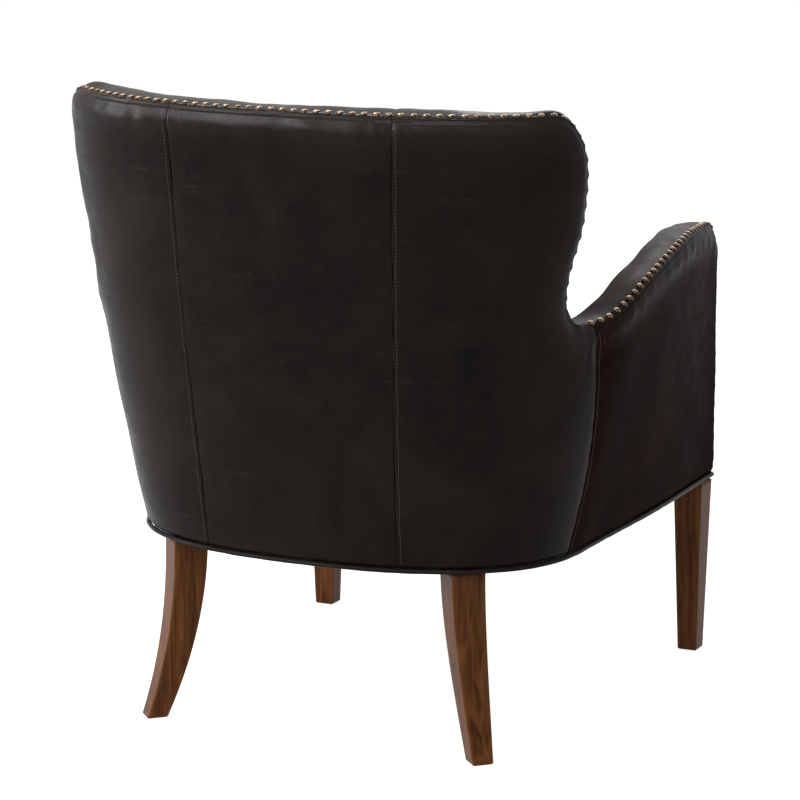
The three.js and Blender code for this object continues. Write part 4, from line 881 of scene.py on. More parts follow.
HALF_RIM, RIM_CORNER = half_rim(PATH_EASE)
HALF_RIM = with_rolls(HALF_RIM, RIM_CORNER)
RIM = whole_rim(HALF_RIM)
SOFT_RIM = whole_rim(half_rim(SOFT_EASE)[0])


def away_from(line):
    """Direction away from the covered side, as a share along the shell and a share of height."""
    flat = np.gradient(line[:, 0]) * station_length(line[:, 0], line[:, 1])
    rise = np.gradient(line[:, 1])
    length = np.hypot(flat, rise)
    return -rise / length, flat / length


def arm_seam():
    heights = np.linspace(PANEL_BOTTOM, CROTCH_Z, 90)
    lean = arm_seam_y(heights)
    top = arm_line_z(lean[-1])
    heights = PANEL_BOTTOM + (heights - PANEL_BOTTOM) * (top - PANEL_BOTTOM) / (CROTCH_Z - PANEL_BOTTOM)
    lean = arm_seam_y(np.minimum(heights, CROTCH_Z))
    return np.stack([station_at_y(lean, heights), heights], axis=1)


def arm_nail_line(from_y, to_y):
    y = np.linspace(from_y, to_y, 160)
    z = arm_line_z(y)
    return np.column_stack([station_at_y(y, z), z, np.tile(ARM_ROLL, (len(y), 1))])


def upright(station_of, top=NAIL_TOP):
    z = np.linspace(PANEL_BOTTOM, top, 90)
    return np.stack([station_of(z), z], axis=1)


def level(from_station, to_station, z):
    return np.stack([np.linspace(from_station, to_station, 120), np.full(120, z)], axis=1)


# Outside panels
def roll_inset(below, depth, drop):
    """How far the surface has curved in below the nail line: softly at first, then over a crest."""
    soft = np.clip(1 - below / drop, 0, 1)
    crest = np.clip(1 - below / (CREST_SHARE * drop), 0, 1)
    return depth * (SOFT_SHARE * soft**2 + (1 - SOFT_SHARE) * crest**3)


def roll_turn(depth, drop):
    """How far the surface is turned up or forward where the nails are."""
    return np.arctan(depth / drop * (2 * SOFT_SHARE + 3 * (1 - SOFT_SHARE) / CREST_SHARE))


def fillet(distance):
    left = np.clip(FRONT_FILLET - distance, 0, FRONT_FILLET)
    return FRONT_FILLET - np.sqrt(np.maximum(FRONT_FILLET**2 - left**2, 0))


def patch(left, right, bottom, top):
    """Grid of [station, height] between four lines that meet at the corners."""
    across = spaced(max(run_length(line_points(line))[-1] for line in (bottom, top)))
    upward = spaced(max(run_length(line_points(line))[-1] for line in (left, right)))
    left, right = sampled(left, upward), sampled(right, upward)
    bottom, top = sampled(bottom, across), sampled(top, across)
    u, v = across[:, None, None], upward[None, :, None]
    sides = (1 - u) * left[None] + u * right[None]
    ends = (1 - v) * bottom[:, None] + v * top[:, None]
    low = (1 - u) * bottom[0] + u * bottom[-1]
    high = (1 - u) * top[0] + u * top[-1]
    return sides + ends - (1 - v) * low - v * high


def panel_inset(base, nails, seams, front, seed):
    """How far the leather lies in from the shell, and how far off the nails are, at each place."""
    to_seam = nearest(base, seams)[0]
    to_welt = base[..., 2] - PANEL_BOTTOM
    inset = SEAM_DEPTH * bump(to_seam, SEAM_WIDTH) + WELT_TUCK * bump(to_welt, WELT_TUCK_WIDTH)
    inset -= PUFF * (1 - np.exp(-to_seam / PUFF_REACH)) * (1 - np.exp(-to_welt / PUFF_REACH)) - PUFF / 2
    line = line_points(nails)
    to_nails, spot = nearest(base, line)
    inset += roll_inset(to_nails, nails[spot, 2], nails[spot, 3])
    inset += GROOVE_DEPTH * bump(to_nails - GROOVE_PLACE, GROOVE_WIDTH)
    inset -= TOP_PUFF * bump(to_nails - TOP_PUFF_REACH, TOP_PUFF_REACH * 0.6)
    inset -= LIP_HEIGHT * bump(to_nails - LIP_PLACE, LIP_WIDTH)
    fade = smooth(GROOVE_PLACE, 2 * GROOVE_PLACE, to_nails) * np.exp(-to_nails / NAIL_PULL_REACH)
    pull = 0.6 + 0.4 * ripple(base, 0.07, seed + 1)
    phase = 2 * np.pi * run_length(line)[spot] / BACK_NAIL_PITCH + 1.5 * ripple(base, 0.05, seed)
    inset += NAIL_PULL * fade * pull * np.cos(phase)
    inset += waves(base, NAIL_WAVE, seed + 3) * bump(to_nails - 0.018, 0.014)
    inset += waves(base, PANEL_WAVE, seed + 2) * smooth(0, CALM, to_seam) * smooth(0, CALM, to_welt)
    if front is not None:
        inset += fillet(nearest(base, front)[0])
    return inset, to_nails


def gathers(base, place, seed):
    """Short wrinkles that run down from where the seam meets the nails."""
    offset = base - place
    distance = np.linalg.norm(offset, axis=-1)
    spokes = np.arctan2(offset[..., 2], offset[..., 1])
    folds = np.cos(17 * spokes + 2.0 * ripple(base, 0.05, seed))
    return GATHER_DEPTH * folds * bump(distance, GATHER_REACH) * smooth(0.004, 0.016, distance)


def add_sheet(grid):
    """Works out the area of a sheet's grid of points; nothing else is done with it."""
    area = np.linalg.norm(face_normals(grid.reshape(-1, 3), grid_faces(grid))[1], axis=1).sum() / 2


def outside_panel(part, lines, nails, seams, material, seed, front=None, gather=None):
    grid = patch(*lines)
    base = shell_point(grid[..., 0], grid[..., 1])
    inset, to_nails = panel_inset(base, nails, seams, front, seed)
    if gather is not None:
        inset += gathers(base, gather, seed + 5)
    outer, inner = (shell_point(grid[..., 0], grid[..., 1], inset + skin) for skin in (0, LEATHER))
    points, faces = layered(outer, inner, grid_faces(outer))
    piece = add_piece(f"outside_{part}_leather", points, faces, material,
                      [f"outside_{part}_panel"])
    paint(piece, "polish", np.tile(bump(to_nails.ravel(), POLISH_REACH), 2))
    add_sheet(outer)
    return outer


def stitch_row(outer):
    """Points of the shell beside the last column of a panel, measured across it."""
    rows = [outer[::-1, k] for k in range(outer.shape[1])]
    return np.array([picked(row, run_length(row), [STITCH_OFFSET])[0] for row in rows])


def build_outside():
    """Five panels and the rows of stitches beside their seams."""
    seam = arm_seam()
    back_seam = upright(back_seam_station)
    crotch = int(np.argmax(HALF_RIM[:, 1] > CROTCH_Z))
    seam_top_y = float(arm_seam_y(CROTCH_Z))
    short = arm_nail_line(seam_top_y, CROTCH_Y - NAIL_END_GAP)
    front_edge = np.vstack([seam, short[1:, :2], HALF_RIM[crotch:RIM_CORNER + 1, :2]])
    top_edge = HALF_RIM[RIM_CORNER:, :2]
    cut = int(np.argmin(np.abs(top_edge[:, 0] - back_seam_station(NAIL_TOP))))
    top_edge = np.vstack([top_edge[:cut], [[back_seam_station(NAIL_TOP), NAIL_TOP]]])
    side_nails = np.vstack([short, HALF_RIM[crotch:]])
    arm_nails = arm_nail_line(FRONT_Y, seam_top_y)
    front_line = np.stack([np.zeros(90), np.linspace(PANEL_BOTTOM, arm_line_z(FRONT_Y), 90)], axis=1)
    rows = []
    for n, side in enumerate(("left", "right")):
        turned = lambda line: on_side(line, side)
        seam_points = line_points(turned(seam))
        lines = [turned(line) for line in (
            front_edge, back_seam, level(seam[0, 0], back_seam[0, 0], PANEL_BOTTOM), top_edge)]
        seams = np.vstack([seam_points, line_points(turned(back_seam))])
        outer = outside_panel(
            f"back_{side}", lines, turned(side_nails), seams, BACK_LEATHER, 20 + n,
            gather=seam_points[-1])
        rows.append(stitch_row(outer))
        lines = [turned(line) for line in (front_line, seam, level(0, seam[0, 0], PANEL_BOTTOM), arm_nails)]
        outer = outside_panel(
            f"arm_{side}", lines, turned(arm_nails), seam_points, ARM_LEATHER, 40 + n,
            front=line_points(turned(front_line)), gather=seam_points[-1])
        rows.append(stitch_row(outer))
    ends = [back_seam, on_side(back_seam, "right")]
    bottom, across = (level(back_seam[k, 0], END_STATION - back_seam[k, 0], z)
                      for k, z in ((0, PANEL_BOTTOM), (-1, NAIL_TOP)))
    across = np.column_stack([across, np.tile(TOP_ROLL, (len(across), 1))])
    seams = np.vstack([line_points(end) for end in ends])
    outside_panel("back_centre", [*ends, bottom, across], across, seams, BACK_LEATHER, 60)
    return rows


def add_stitches(name, rows, margin=0.012):
    """Short raised threads along rows of points on the shell."""
    shares = np.array([-1.0, -0.72, 0.0, 0.72, 1.0])
    sizes = np.array([0.15, 0.75, 1.0, 0.75, 0.15]) * STITCH_RADIUS
    made = []
    for row in rows:
        reach = run_length(row)
        for at in np.arange(margin, reach[-1] - margin, STITCH_PITCH):
            path = picked(row, reach, at + shares * STITCH_HALF)
            outward = unit(path * [1, 1, 0] - [0, CORNER_Y - 0.1, 0])
            path += outward * (STITCH_RADIUS * (1.1 - 1.2 * shares**2))[:, None]
            made.append(tube_points(path, sizes, 6, outward))
    points = np.array(made).reshape(-1, 3)
    add_piece(name, points, join_copies(points, tube_faces(made[0]), len(made)), DARK_THREAD,
              closed=False)


# Inside back, with the wings and the roll over the top
def nail_gap(rolls, share):
    """How much further out the cover starts than on the top, where the roll is shallower."""
    start = roll_inset(0.0, rolls[:, :1], rolls[:, 1:])
    return (roll_inset(0.0, *TOP_ROLL) - start) * (1 - smooth(0.25, 0.6, share))


def build_inside_back():
    rolled = smooth(CROTCH_Z - 0.022, CROTCH_Z - 0.004, RIM[:, 1])[:, None]
    high = spline(RIM_PROFILE, RIM_STEPS)
    low = spline(LOW_PROFILE, RIM_STEPS)
    to_top = smooth(-0.02, 0.06, (np.arange(len(HALF_RIM)) - RIM_CORNER) * PATH_STEP)
    flatness = np.concatenate([to_top, to_top[-2::-1]])[:, None] * (high[None, :, 0] > 0)
    reach = rolled * high[None, :, 0] * (1 - (1 - TOP_RISE_SHARE) * flatness) + (1 - rolled) * low[None, :, 0]
    share = (rolled * high[None, :, 1] + (1 - rolled) * low[None, :, 1]) / ARM_WALL
    share -= rolled * nail_gap(RIM[:, 2:], share) / ARM_WALL
    softness = smooth(0.3, 1, share)
    along, up = ((1 - softness) * sharp[:, None] + softness * soft[:, None]
                 for sharp, soft in zip(away_from(RIM), away_from(SOFT_RIM)))
    station, z = ((1 - softness) * RIM[:, k, None] + softness * SOFT_RIM[:, k, None] for k in (0, 1))
    ring = np.stack([slide_station(station, z, along * reach), z + up * reach, share], axis=-1)

    last = len(RIM) - 1
    inner = ring[:, -1]
    left, right = inner[:RIM_CORNER + 1], inner[::-1][:RIM_CORNER + 1]
    top = inner[RIM_CORNER:last - RIM_CORNER + 1]
    u = np.linspace(0, 1, len(top))[:, None, None]
    v = np.linspace(0, 1, len(left))[None, :, None]
    bottom = left[0] + (right[0] - left[0]) * u
    sides = (1 - u) * left[None] + u * right[None]
    corners = (1 - v) * bottom + v * ((1 - u) * top[0] + u * top[-1])
    face = sides + (1 - v) * bottom + v * top[:, None] - corners

    edge = numbered(ring)[:, -1]
    index = ring[..., 0].size + numbered(face)
    index[0] = edge[:RIM_CORNER + 1]
    index[-1] = edge[::-1][:RIM_CORNER + 1]
    index[:, -1] = edge[RIM_CORNER:last - RIM_CORNER + 1]
    used, faces = renumbered(grid_faces(ring) + quads(index, turned=True))
    station, z, share = np.vstack([ring.reshape(-1, 3), face.reshape(-1, 3)])[used].T
    front = inside_point(station, z, share)
    normals = vertex_normals(front, faces)
    inward = (normals * (front - [0, -1, 0.6])).sum() < 0
    return station, z, share, front, normals if inward else -normals, faces


def dress_inside_back():
    station, z, share, front, normals, faces = build_inside_back()
    seam = back_seam_station(np.clip(z, UNDERSIDE, NAIL_TOP))
    to_seam = np.abs(folded(station) - seam) * station_length(station, z) * 0.8
    settled = smooth(0.25, 0.6, share)
    lift = -0.0020 * bump(to_seam, 0.0026) * smooth(0.45, 0.95, share)
    lift += 0.0035 * (1 - np.exp(-to_seam / 0.05)) * smooth(0.9, 1.0, share)
    lift += sum(waves(front, size, 71 + n) * settled for n, size in enumerate(BACK_WAVES))
    front = front + normals * lift[:, None]
    depth = smooth(0.86, 1.0, share)[:, None]
    frame_face = shell_point(station, z, np.minimum(FRAME_SIDE, ARM_WALL * share - 0.002))
    back = (front - normals * PAD_SKIN) * (1 - depth) + frame_face * depth
    points, faces = layered(front, back, faces)
    add_piece("inside_back", points, faces, INSIDE_LEATHER,
              ["inside_back_cover", "inside_back_foam"])


# Arms
def arm_rise(profile):
    """Heights of the roll over the arm, lower than over the wings and falling to the inside."""
    rise = np.where(profile[:, 0] > 0, ARM_RISE_SHARE * profile[:, 0], profile[:, 0])
    return rise - ARM_FALL * smooth(0.022, 0.055, profile[:, 1])


def arm_columns():
    """Places along the arm, which runs on under the wing, with the station, height and share of the
    wall over its roll and down its inner side."""
    length = CROTCH_Y + ARM_TUCK - FRONT_Y
    y = FRONT_Y + length * spaced(length, 0.0012, 0.008, 0.03)
    line = arm_line_z(y)
    profile = spline(RIM_PROFILE, RIM_STEPS)
    over = line[:, None] + arm_rise(profile)[None]
    share = np.broadcast_to(profile[None, :, 1] / ARM_WALL, over.shape)
    share = share - nail_gap(ARM_ROLL[None], share) / ARM_WALL
    down = over[:, -1:] + (INSIDE_BOTTOM - over[:, -1:]) * np.linspace(0, 1, 46)[1:]
    z = np.hstack([over, down])
    share = np.hstack([share, np.ones_like(down)])
    return y, np.broadcast_to(station_at_y(y, line)[:, None], z.shape), z, share


def build_arms():
    y, station, z, share = arm_columns()
    to_front = np.broadcast_to((y - FRONT_Y)[:, None], z.shape).ravel()
    past_joint = to_front + FRONT_Y - CROTCH_Y
    settled, inner = smooth(0.25, 0.6, share.ravel()), smooth(0.6, 0.95, share.ravel())
    depth = smooth(0.93, 1.0, share.ravel())[:, None] * smooth(0.004, 0.03, to_front)[:, None]
    for n, side in enumerate(("left", "right")):
        placed = to_side(station, side)
        front, middle, foam = (surface.reshape(-1, 3) for surface in (
            inside_point(placed, z, share), shell_point(placed, z, ARM_WALL / 2),
            shell_point(placed, z, ARM_FOAM_SIDE)))
        normals = vertex_normals(front, grid_faces(z))
        normals *= np.sign(((front - middle) * normals).sum())
        lift = -fillet(to_front) - 0.0012 * bump(to_front, 0.0022)
        lift -= 0.0030 * bump(past_joint, 0.005) * settled
        lift -= smooth(0, 0.008, past_joint) * (0.0012 + 0.0060 * settled)
        lift += (0.0002 + 0.0008 * inner) * ripple(front, 0.13, 81 + n) * settled * smooth(0, 0.04, to_front)
        front = front + normals * lift[:, None]
        back = (front - normals * PAD_SKIN) * (1 - depth) + foam * depth
        points, faces = layered(front, back, grid_faces(z))
        add_piece(f"arm_{side}_pad", points, faces, ARM_TOP_LEATHER,
                  [f"inside_arm_{side}_cover", f"inside_arm_{side}_foam"])


def arm_front_outline():
    """Section of the arm at its front, as rows of [inset, height], drawn in by the front fillet."""
    line = float(arm_line_z(FRONT_Y))
    rise = np.linspace(PANEL_BOTTOM, line - 0.002, 70)
    wall = np.stack([roll_inset(line - rise, *ARM_ROLL), rise], axis=1)
    over = spline(RIM_PROFILE, RIM_STEPS)[1:]
    gap = nail_gap(ARM_ROLL[None], over[:, 1] / ARM_WALL)[0]
    over = np.stack([over[:, 1] - gap, line + arm_rise(over)], axis=1)
    fall = np.linspace(over[-1, 1], PANEL_BOTTOM, 60)[1:]
    inner = np.stack([np.full(len(fall), ARM_WALL), fall], axis=1)
    whole = evenly(np.vstack([wall, over, inner]), 190)
    along = unit(np.gradient(whole, axis=0))
    inward = np.stack([along[:, 1], -along[:, 0]], axis=1)
    low = 1 - smooth(INSIDE_BOTTOM - 0.008, INSIDE_BOTTOM + 0.016, whole[:, 1])
    low_inner = (whole[:, 0] > ARM_WALL - 0.001) * low
    return whole + inward * (FRONT_FILLET * (1 - low_inner))[:, None]


def build_facings():
    """Padded facing at the front of each arm, filled from its outline to a line up its middle."""
    outline = arm_front_outline()
    top = outline[:, 1].max()
    low = np.stack([np.linspace(outline[-1, 0], outline[0, 0], 14), np.full(14, PANEL_BOTTOM)], axis=1)
    outline = np.vstack([outline, low[1:-1]])
    core = np.stack([np.full(len(outline), ARM_WALL / 2),
                     np.clip(outline[:, 1], PANEL_BOTTOM + 0.026, top - 0.026)], axis=1)
    shares = np.array([0, 0.04, 0.09, 0.16, 0.26, 0.4, 0.56, 0.74, 0.9, 1.0])
    rings = outline[None] + (core - outline)[None] * shares[:, None, None]
    reach = np.linalg.norm(rings - outline[None], axis=-1)
    crown = 0.0040 * np.sin(np.minimum(reach / 0.020, 1) * np.pi / 2) - 0.0012 * bump(reach, 0.0022)
    for side, way in (("left", 1), ("right", -1)):
        x = way * (FRONT_HALF_WIDTH - rings[..., 0])
        front, back = (np.stack([x, np.broadcast_to(y, x.shape), rings[..., 1]], axis=-1)
                       for y in (FRONT_Y - crown, FRONT_Y + LEATHER))
        points, faces = layered(front, back, loop_faces(numbered(rings)))
        add_piece(f"arm_front_{side}_pad", points, faces, ARM_LEATHER,
                  [f"arm_front_{side}_facing"])


def build_front_border():
    half = FRONT_HALF_WIDTH - ARM_WALL - BORDER_GAP
    x = -half + 2 * half * spaced(2 * half)
    profile = spline(BORDER_PROFILE, 44)
    to_side = (half - np.abs(x))[:, None]
    y = FRONT_Y + profile[None, :, 0] + 0.0020 * bump(to_side, 0.003)
    x, z = np.broadcast_to(x[:, None], y.shape), np.broadcast_to(profile[:, 1], y.shape)
    front = np.stack([x, y, z], axis=-1)
    front[..., 1] += waves(front, BORDER_WAVE, 91) * smooth(0, CALM, to_side)
    normals = vertex_normals(front.reshape(-1, 3), grid_faces(front)).reshape(front.shape)
    normals *= -np.sign(normals[..., 1].sum())
    points, faces = layered(front, front - normals * LEATHER, grid_faces(front))
    piece = add_piece("front_border_leather", points, faces, ARM_LEATHER, ["front_border_panel"])
    add_sheet(front)


# Boards of the frame whose outer edges are eased where the leather rolls in over them
def add_board(name, node, sections):
    rings = np.array(sections)
    add_piece(name, rings, tube_faces(rings), HARDWOOD, [node])


def build_boards():
    crown = np.array([*BOARD_CROWN, [FRAME_BACK, -TOP_RAIL_HEIGHT], [FRAME_INSET, -TOP_RAIL_HEIGHT]])
    edge = station_at_y(wing_edge_y(NAIL_TOP), NAIL_TOP)
    end = float(slide_station(edge, NAIL_TOP, BOARD_SETBACK))
    add_board("back_top_board", "back_top_rail", [
        shell_point(station, NAIL_TOP + crown[:, 1], crown[:, 0])
        for station in np.linspace(end, END_STATION - end, 60)])

    start = float(station_at_y(FRONT_Y + FRAME_INSET + LEATHER, CROTCH_Z))
    stop = float(slide_station(REAR_LEG_STATION_SHARE, CROTCH_Z, -BACK_POST_WIDTH / 2))
    crown = np.array(BOARD_CROWN)
    foot = -ARM_RAIL_DROP - ARM_RAIL_HEIGHT
    rise = np.array([*np.minimum(crown[:, 1], -ARM_RAIL_DROP), foot, foot])
    inset = np.array([*crown[:, 0], FRAME_BACK, FRAME_INSET])
    post_edge = WING_POST_WIDTH + FRAME_INSET
    slide = np.array([post_edge, -crown[0, 1], -crown[1, 1], FRAME_INSET, FRAME_INSET, post_edge])
    depth = np.array([FRAME_INSET, FRAME_INSET, crown[1, 0], crown[2, 0], FRAME_BACK, FRAME_BACK])
    low, high = CROTCH_Z - ARM_RAIL_DROP + BOARD_GAP, NAIL_TOP - TOP_RAIL_HEIGHT - BOARD_GAP
    for side in ("left", "right"):
        sections = []
        for station in np.linspace(start, stop, 60):
            line = float(arm_line_z(min(shell_point(station, CROTCH_Z)[1], CROTCH_Y)))
            sections.append(shell_point(to_side(station, side), line + rise, inset))
        add_board(f"arm_{side}_board", f"arm_{side}_rail", sections)
        sections = []
        for z in np.linspace(low, high, 24):
            station = slide_station(station_at_y(wing_edge_y(z), z), z, slide)
            sections.append(shell_point(to_side(station, side), z, depth))
        add_board(f"wing_{side}_board", f"wing_{side}_post", sections)


# Trims
def nail_profile():
    """Radius and height of a nail head from its sunk rim to its crown."""
    dome = [[NAIL_RADIUS * math.cos(t), NAIL_DOME * math.sin(t)] for t in np.linspace(0, np.pi / 2, 8)[:-1]]
    return np.array([[NAIL_RADIUS * 0.86, -NAIL_SINK], [NAIL_RADIUS, -NAIL_SINK / 2], *dome])


def fan(ring, tip):
    """Faces from each side of a ring of numbers to one point."""
    return [[a, b, tip] for a, b in zip(ring, ring[1:] + ring[:1])]


def add_nails(name, node, line, pitch, seed):
    """Domed heads at an even pitch along a line on the shell."""
    reach = run_length(line_points(line, roll_inset(0.0, line[:, 2], line[:, 3])))
    count = int((reach[-1] - 2 * NAIL_END) / pitch)
    start = (reach[-1] - count * pitch) / 2
    draw = np.random.default_rng(seed)
    at = start + pitch * np.arange(count + 1) + draw.normal(0, NAIL_SCATTER, count + 1)
    rows = picked(np.column_stack([line, *away_from(line)]), reach, at)
    station, z, depth, drop, along, up = rows.T
    outward = shell_normal(station, z)
    forward = np.stack([-outward[:, 1], outward[:, 0], np.zeros(len(at))], axis=1) * along[:, None]
    forward[:, 2] += up
    turn = roll_turn(depth, drop) + draw.normal(0, 0.05, len(at))
    normal = outward * np.cos(turn)[:, None] + forward * np.sin(turn)[:, None]
    place = shell_point(station, z, roll_inset(0.0, depth, drop))
    side = unit(np.cross(normal, [0.31, 0.17, 0.93]))
    ring = circles(side, np.cross(normal, side), NAIL_SIDES)
    profile = nail_profile()
    heads = [place[:, None] + ring * radius + normal[:, None] * height for radius, height in profile]
    points = np.concatenate([*heads, (place + normal * NAIL_DOME)[:, None]], axis=1).reshape(-1, 3)
    index = np.arange(len(profile) * NAIL_SIDES).reshape(-1, NAIL_SIDES)
    faces = loop_faces(index) + fan(index[-1].tolist(), index.size) + [index[0, ::-1].tolist()]
    piece = add_piece(name, points, join_copies(points, faces, len(at)), BRASS, [node])
    rise = np.append(profile[:, 1].repeat(NAIL_SIDES), NAIL_DOME) / NAIL_DOME
    paint(piece, "rise", np.tile(np.clip(rise, 0, 1), len(at)))


def build_nails():
    crotch = int(np.argmax(HALF_RIM[:, 1] > CROTCH_Z + 0.006))
    add_nails("back_nails", "back_nail_trim", whole_rim(HALF_RIM[crotch:]), BACK_NAIL_PITCH, 3)
    arm = arm_nail_line(FRONT_Y + NAIL_END_GAP, CROTCH_Y - NAIL_END_GAP)
    add_nails("left_arm_nails", "left_arm_nail_trim", arm, ARM_NAIL_PITCH, 4)
    add_nails("right_arm_nails", "right_arm_nail_trim", on_side(arm, "right")[::-1], ARM_NAIL_PITCH, 5)


def add_piping(name, node, path, thickness, sides, seed, body):
    """Closed cord with a small change of thickness along it."""
    radius = thickness * (1 + WELT_WAVE_SHARE * ripple(path, WELT_WAVE_LENGTH, seed))
    rings = tube_points(path, radius, sides, closed=True)
    add_piece(name, rings, tube_faces(rings, closed=True), WELT_LEATHER, [node], body)


def build_welt():
    """Piping round the bottom edge."""
    start = float(station_at_y(FRONT_Y + WELT_INSET + WELT_RADIUS, WELT_Z))
    stations = np.linspace(start, END_STATION - start, 420)
    reach = FRONT_HALF_WIDTH - WELT_INSET - WELT_RADIUS
    across = np.linspace(-reach, reach, 120)
    front = np.stack([across, np.full(120, FRONT_Y + WELT_INSET), np.full(120, WELT_Z)], axis=1)
    path = np.vstack([shell_point(stations, WELT_Z, WELT_INSET), front])
    path = evenly(np.vstack([path, path[:1]]), 600, ends=False)
    add_piping("bottom_piping", "bottom_welt", path, WELT_RADIUS, 12, 7, "frame")


# Legs
def ray(angle, length=1.0):
    return length * np.array([math.cos(angle), math.sin(angle)])


def rotated(points, angle):
    """Points of a plan turned about its origin."""
    cos, sin = ray(angle)
    return points @ np.array([[cos, sin], [-sin, cos]])


def leg_section(x, y, z, side, turn):
    """Square ring with rounded corners, and how worn each of its points is."""
    half = side / 2 - LEG_EDGE
    points, wear = [], []
    for quarter in range(4):
        start = quarter * math.pi / 2
        corner = ray(start + math.pi / 4, half * math.sqrt(2))
        points += [corner + ray(start + step * math.pi / 8, LEG_EDGE) for step in range(5)]
        flat = corner + ray(start + math.pi / 2, LEG_EDGE)
        points += [flat + ray(start + math.pi, 2 * half * share) for share in (0.12, 0.5, 0.88)]
        wear += [1.0] * 5 + [0.0] * 3
    plan = rotated(np.array(points), turn) + [x, y]
    return level_ring(plan, z), wear


def leg_rings(section_of, steps=48):
    """Sections from the foot up, with a small chamfer under the foot."""
    heights = [0.0, FOOT_CHAMFER, *np.linspace(FOOT_RING, UNDERSIDE, steps)]
    made = [section_of(z, max(FOOT_CHAMFER - z, 0)) for z in heights]
    wear = np.array([edges for _, edges in made])
    wear[0], wear[1] = 0.8, 1.0
    return np.array([points for points, _ in made]), wear


def front_leg_section(z, drawn):
    side = LEG_FOOT + (FRONT_LEG_TOP - LEG_FOOT) * z / UNDERSIDE
    return leg_section(*FRONT_LEG, z, side - 2 * drawn, 0)


def rear_leg_section(z, drawn):
    share = 1 - z / UNDERSIDE
    place = shell_point(REAR_LEG_STATION_SHARE, UNDERSIDE, REAR_LEG_INSET)
    x, y = (place[k] + REAR_SPLAY[k] * share ** SPLAY_POWERS[k] for k in (0, 1))
    side = REAR_LEG_TOP + (LEG_FOOT - REAR_LEG_TOP) * share**REAR_TAPER_POWER
    return leg_section(x, y, z, side - 2 * drawn, math.pi / 4)


def build_legs():
    for start, section_of in (("front", front_leg_section), ("rear", rear_leg_section)):
        rings, wear = leg_rings(section_of)
        for side, way in (("left", 1), ("right", -1)):
            piece = add_piece(f"{start}_{side}_leg_wood", rings * [way, 1, 1], tube_faces(rings),
                              WALNUT, [f"{start}_{side}_leg"])
            paint(piece, "wear", wear)


# Seat
def seat_outline(inset, step=0.006):
    """Closed outline of the seat, drawn in by an inset."""
    x = SEAT_HALF_WIDTH - inset
    front_y, rear_y = SEAT_FRONT_Y + inset, SEAT_REAR_Y - inset
    front, rear = SEAT_FRONT_RADIUS - inset, SEAT_REAR_RADIUS - inset
    corner = lambda radius, y, start: [
        ray(start + t, radius) + [x - radius, y] for t in np.linspace(0, math.pi / 2, 16)]
    half = np.array([[0, front_y], *corner(front, front_y + front, -math.pi / 2),
                     *corner(rear, rear_y - rear, 0), [0, rear_y]])
    half[:, 0] *= 1 + SEAT_FLARE_SHARE * (half[:, 1] - SEAT_FRONT_Y) / (SEAT_REAR_Y - SEAT_FRONT_Y)
    whole = np.vstack([half, (half * [-1, 1])[-2::-1]])
    return evenly(whole, int(run_length(whole)[-1] / step), ends=False)


SEAT_MIDDLE_Y = (SEAT_FRONT_Y + SEAT_REAR_Y) / 2
SEAT_COUNT = len(seat_outline(0.0))


def seat_ring(inset, share=1.0):
    line = seat_outline(inset)
    steps = np.linspace(0, len(line), SEAT_COUNT, endpoint=False)
    even = picked(np.vstack([line, line[:1]]), np.arange(len(line) + 1), steps)
    return even * share + [0, SEAT_MIDDLE_Y * (1 - share)]


def level_ring(flat, z):
    return np.column_stack([flat, np.broadcast_to(z, len(flat))])


def crowned_ring(inset, share, z, rise):
    """Ring of the seat that follows its crown, highest in the middle."""
    flat = seat_ring(inset, share)
    across = np.minimum(np.abs(flat[:, 0]) / SEAT_HALF_WIDTH, 1)
    along = np.minimum(np.abs(flat[:, 1] - SEAT_MIDDLE_Y) / (SEAT_REAR_Y - SEAT_MIDDLE_Y), 1)
    crown = (1 - across**CUSHION_SWELL_POWER) * (1 - along**CUSHION_SWELL_POWER)
    return level_ring(flat, z + rise * crown)


def lofted(rings):
    """Closed body through rings with the same number of points, each end closed by its middle."""
    index = numbered(np.array(rings))
    points = np.vstack([*rings, rings[0].mean(axis=0), rings[-1].mean(axis=0)])
    ends = fan(index[0, ::-1].tolist(), index.size) + fan(index[-1].tolist(), index.size + 1)
    return points, loop_faces(index) + ends


def build_deck():
    shares = np.linspace(0.05, 1, 22)
    rings = [level_ring(seat_ring(0.0, share), DECK_BOTTOM) for share in shares]
    for inset, z in ((0.0, DECK_BOTTOM + 0.004), (0.0, DECK_TOP - 0.005), (0.001, DECK_TOP - 0.002)):
        rings.append(level_ring(seat_ring(inset), z))
    rings += [crowned_ring(0.003, share, DECK_TOP - DECK_EASE, DECK_CROWN) for share in shares[::-1]]
    points, faces = lofted(rings)
    add_piece("seat_deck", points, faces, BLACK_CLOTH, ["deck_pad", "deck_cover"])


def cushion_rings():
    """Rings of the cushion from the middle of its underside to the middle of its top."""
    welt = CUSHION_WELT_RADIUS
    low, high = CUSHION_BOTTOM + welt, CUSHION_TOP - welt
    shares = np.linspace(0.04, 1, 44)
    rings = [crowned_ring(2 * welt, share, low, -CUSHION_BELLY - welt) for share in shares]
    for t in np.linspace(0, 1, 26)[1:-1]:
        bulge = CUSHION_SWELL * math.sin(math.pi * t) ** 0.6
        bulge -= CUSHION_TUCK * (bump(t, 0.03) + bump(1 - t, 0.03))
        rings.append(level_ring(seat_ring(welt - bulge), low + (high - low) * t))
    return rings + [crowned_ring(2 * welt, share, high, CUSHION_CROWN + welt) for share in shares[::-1]]


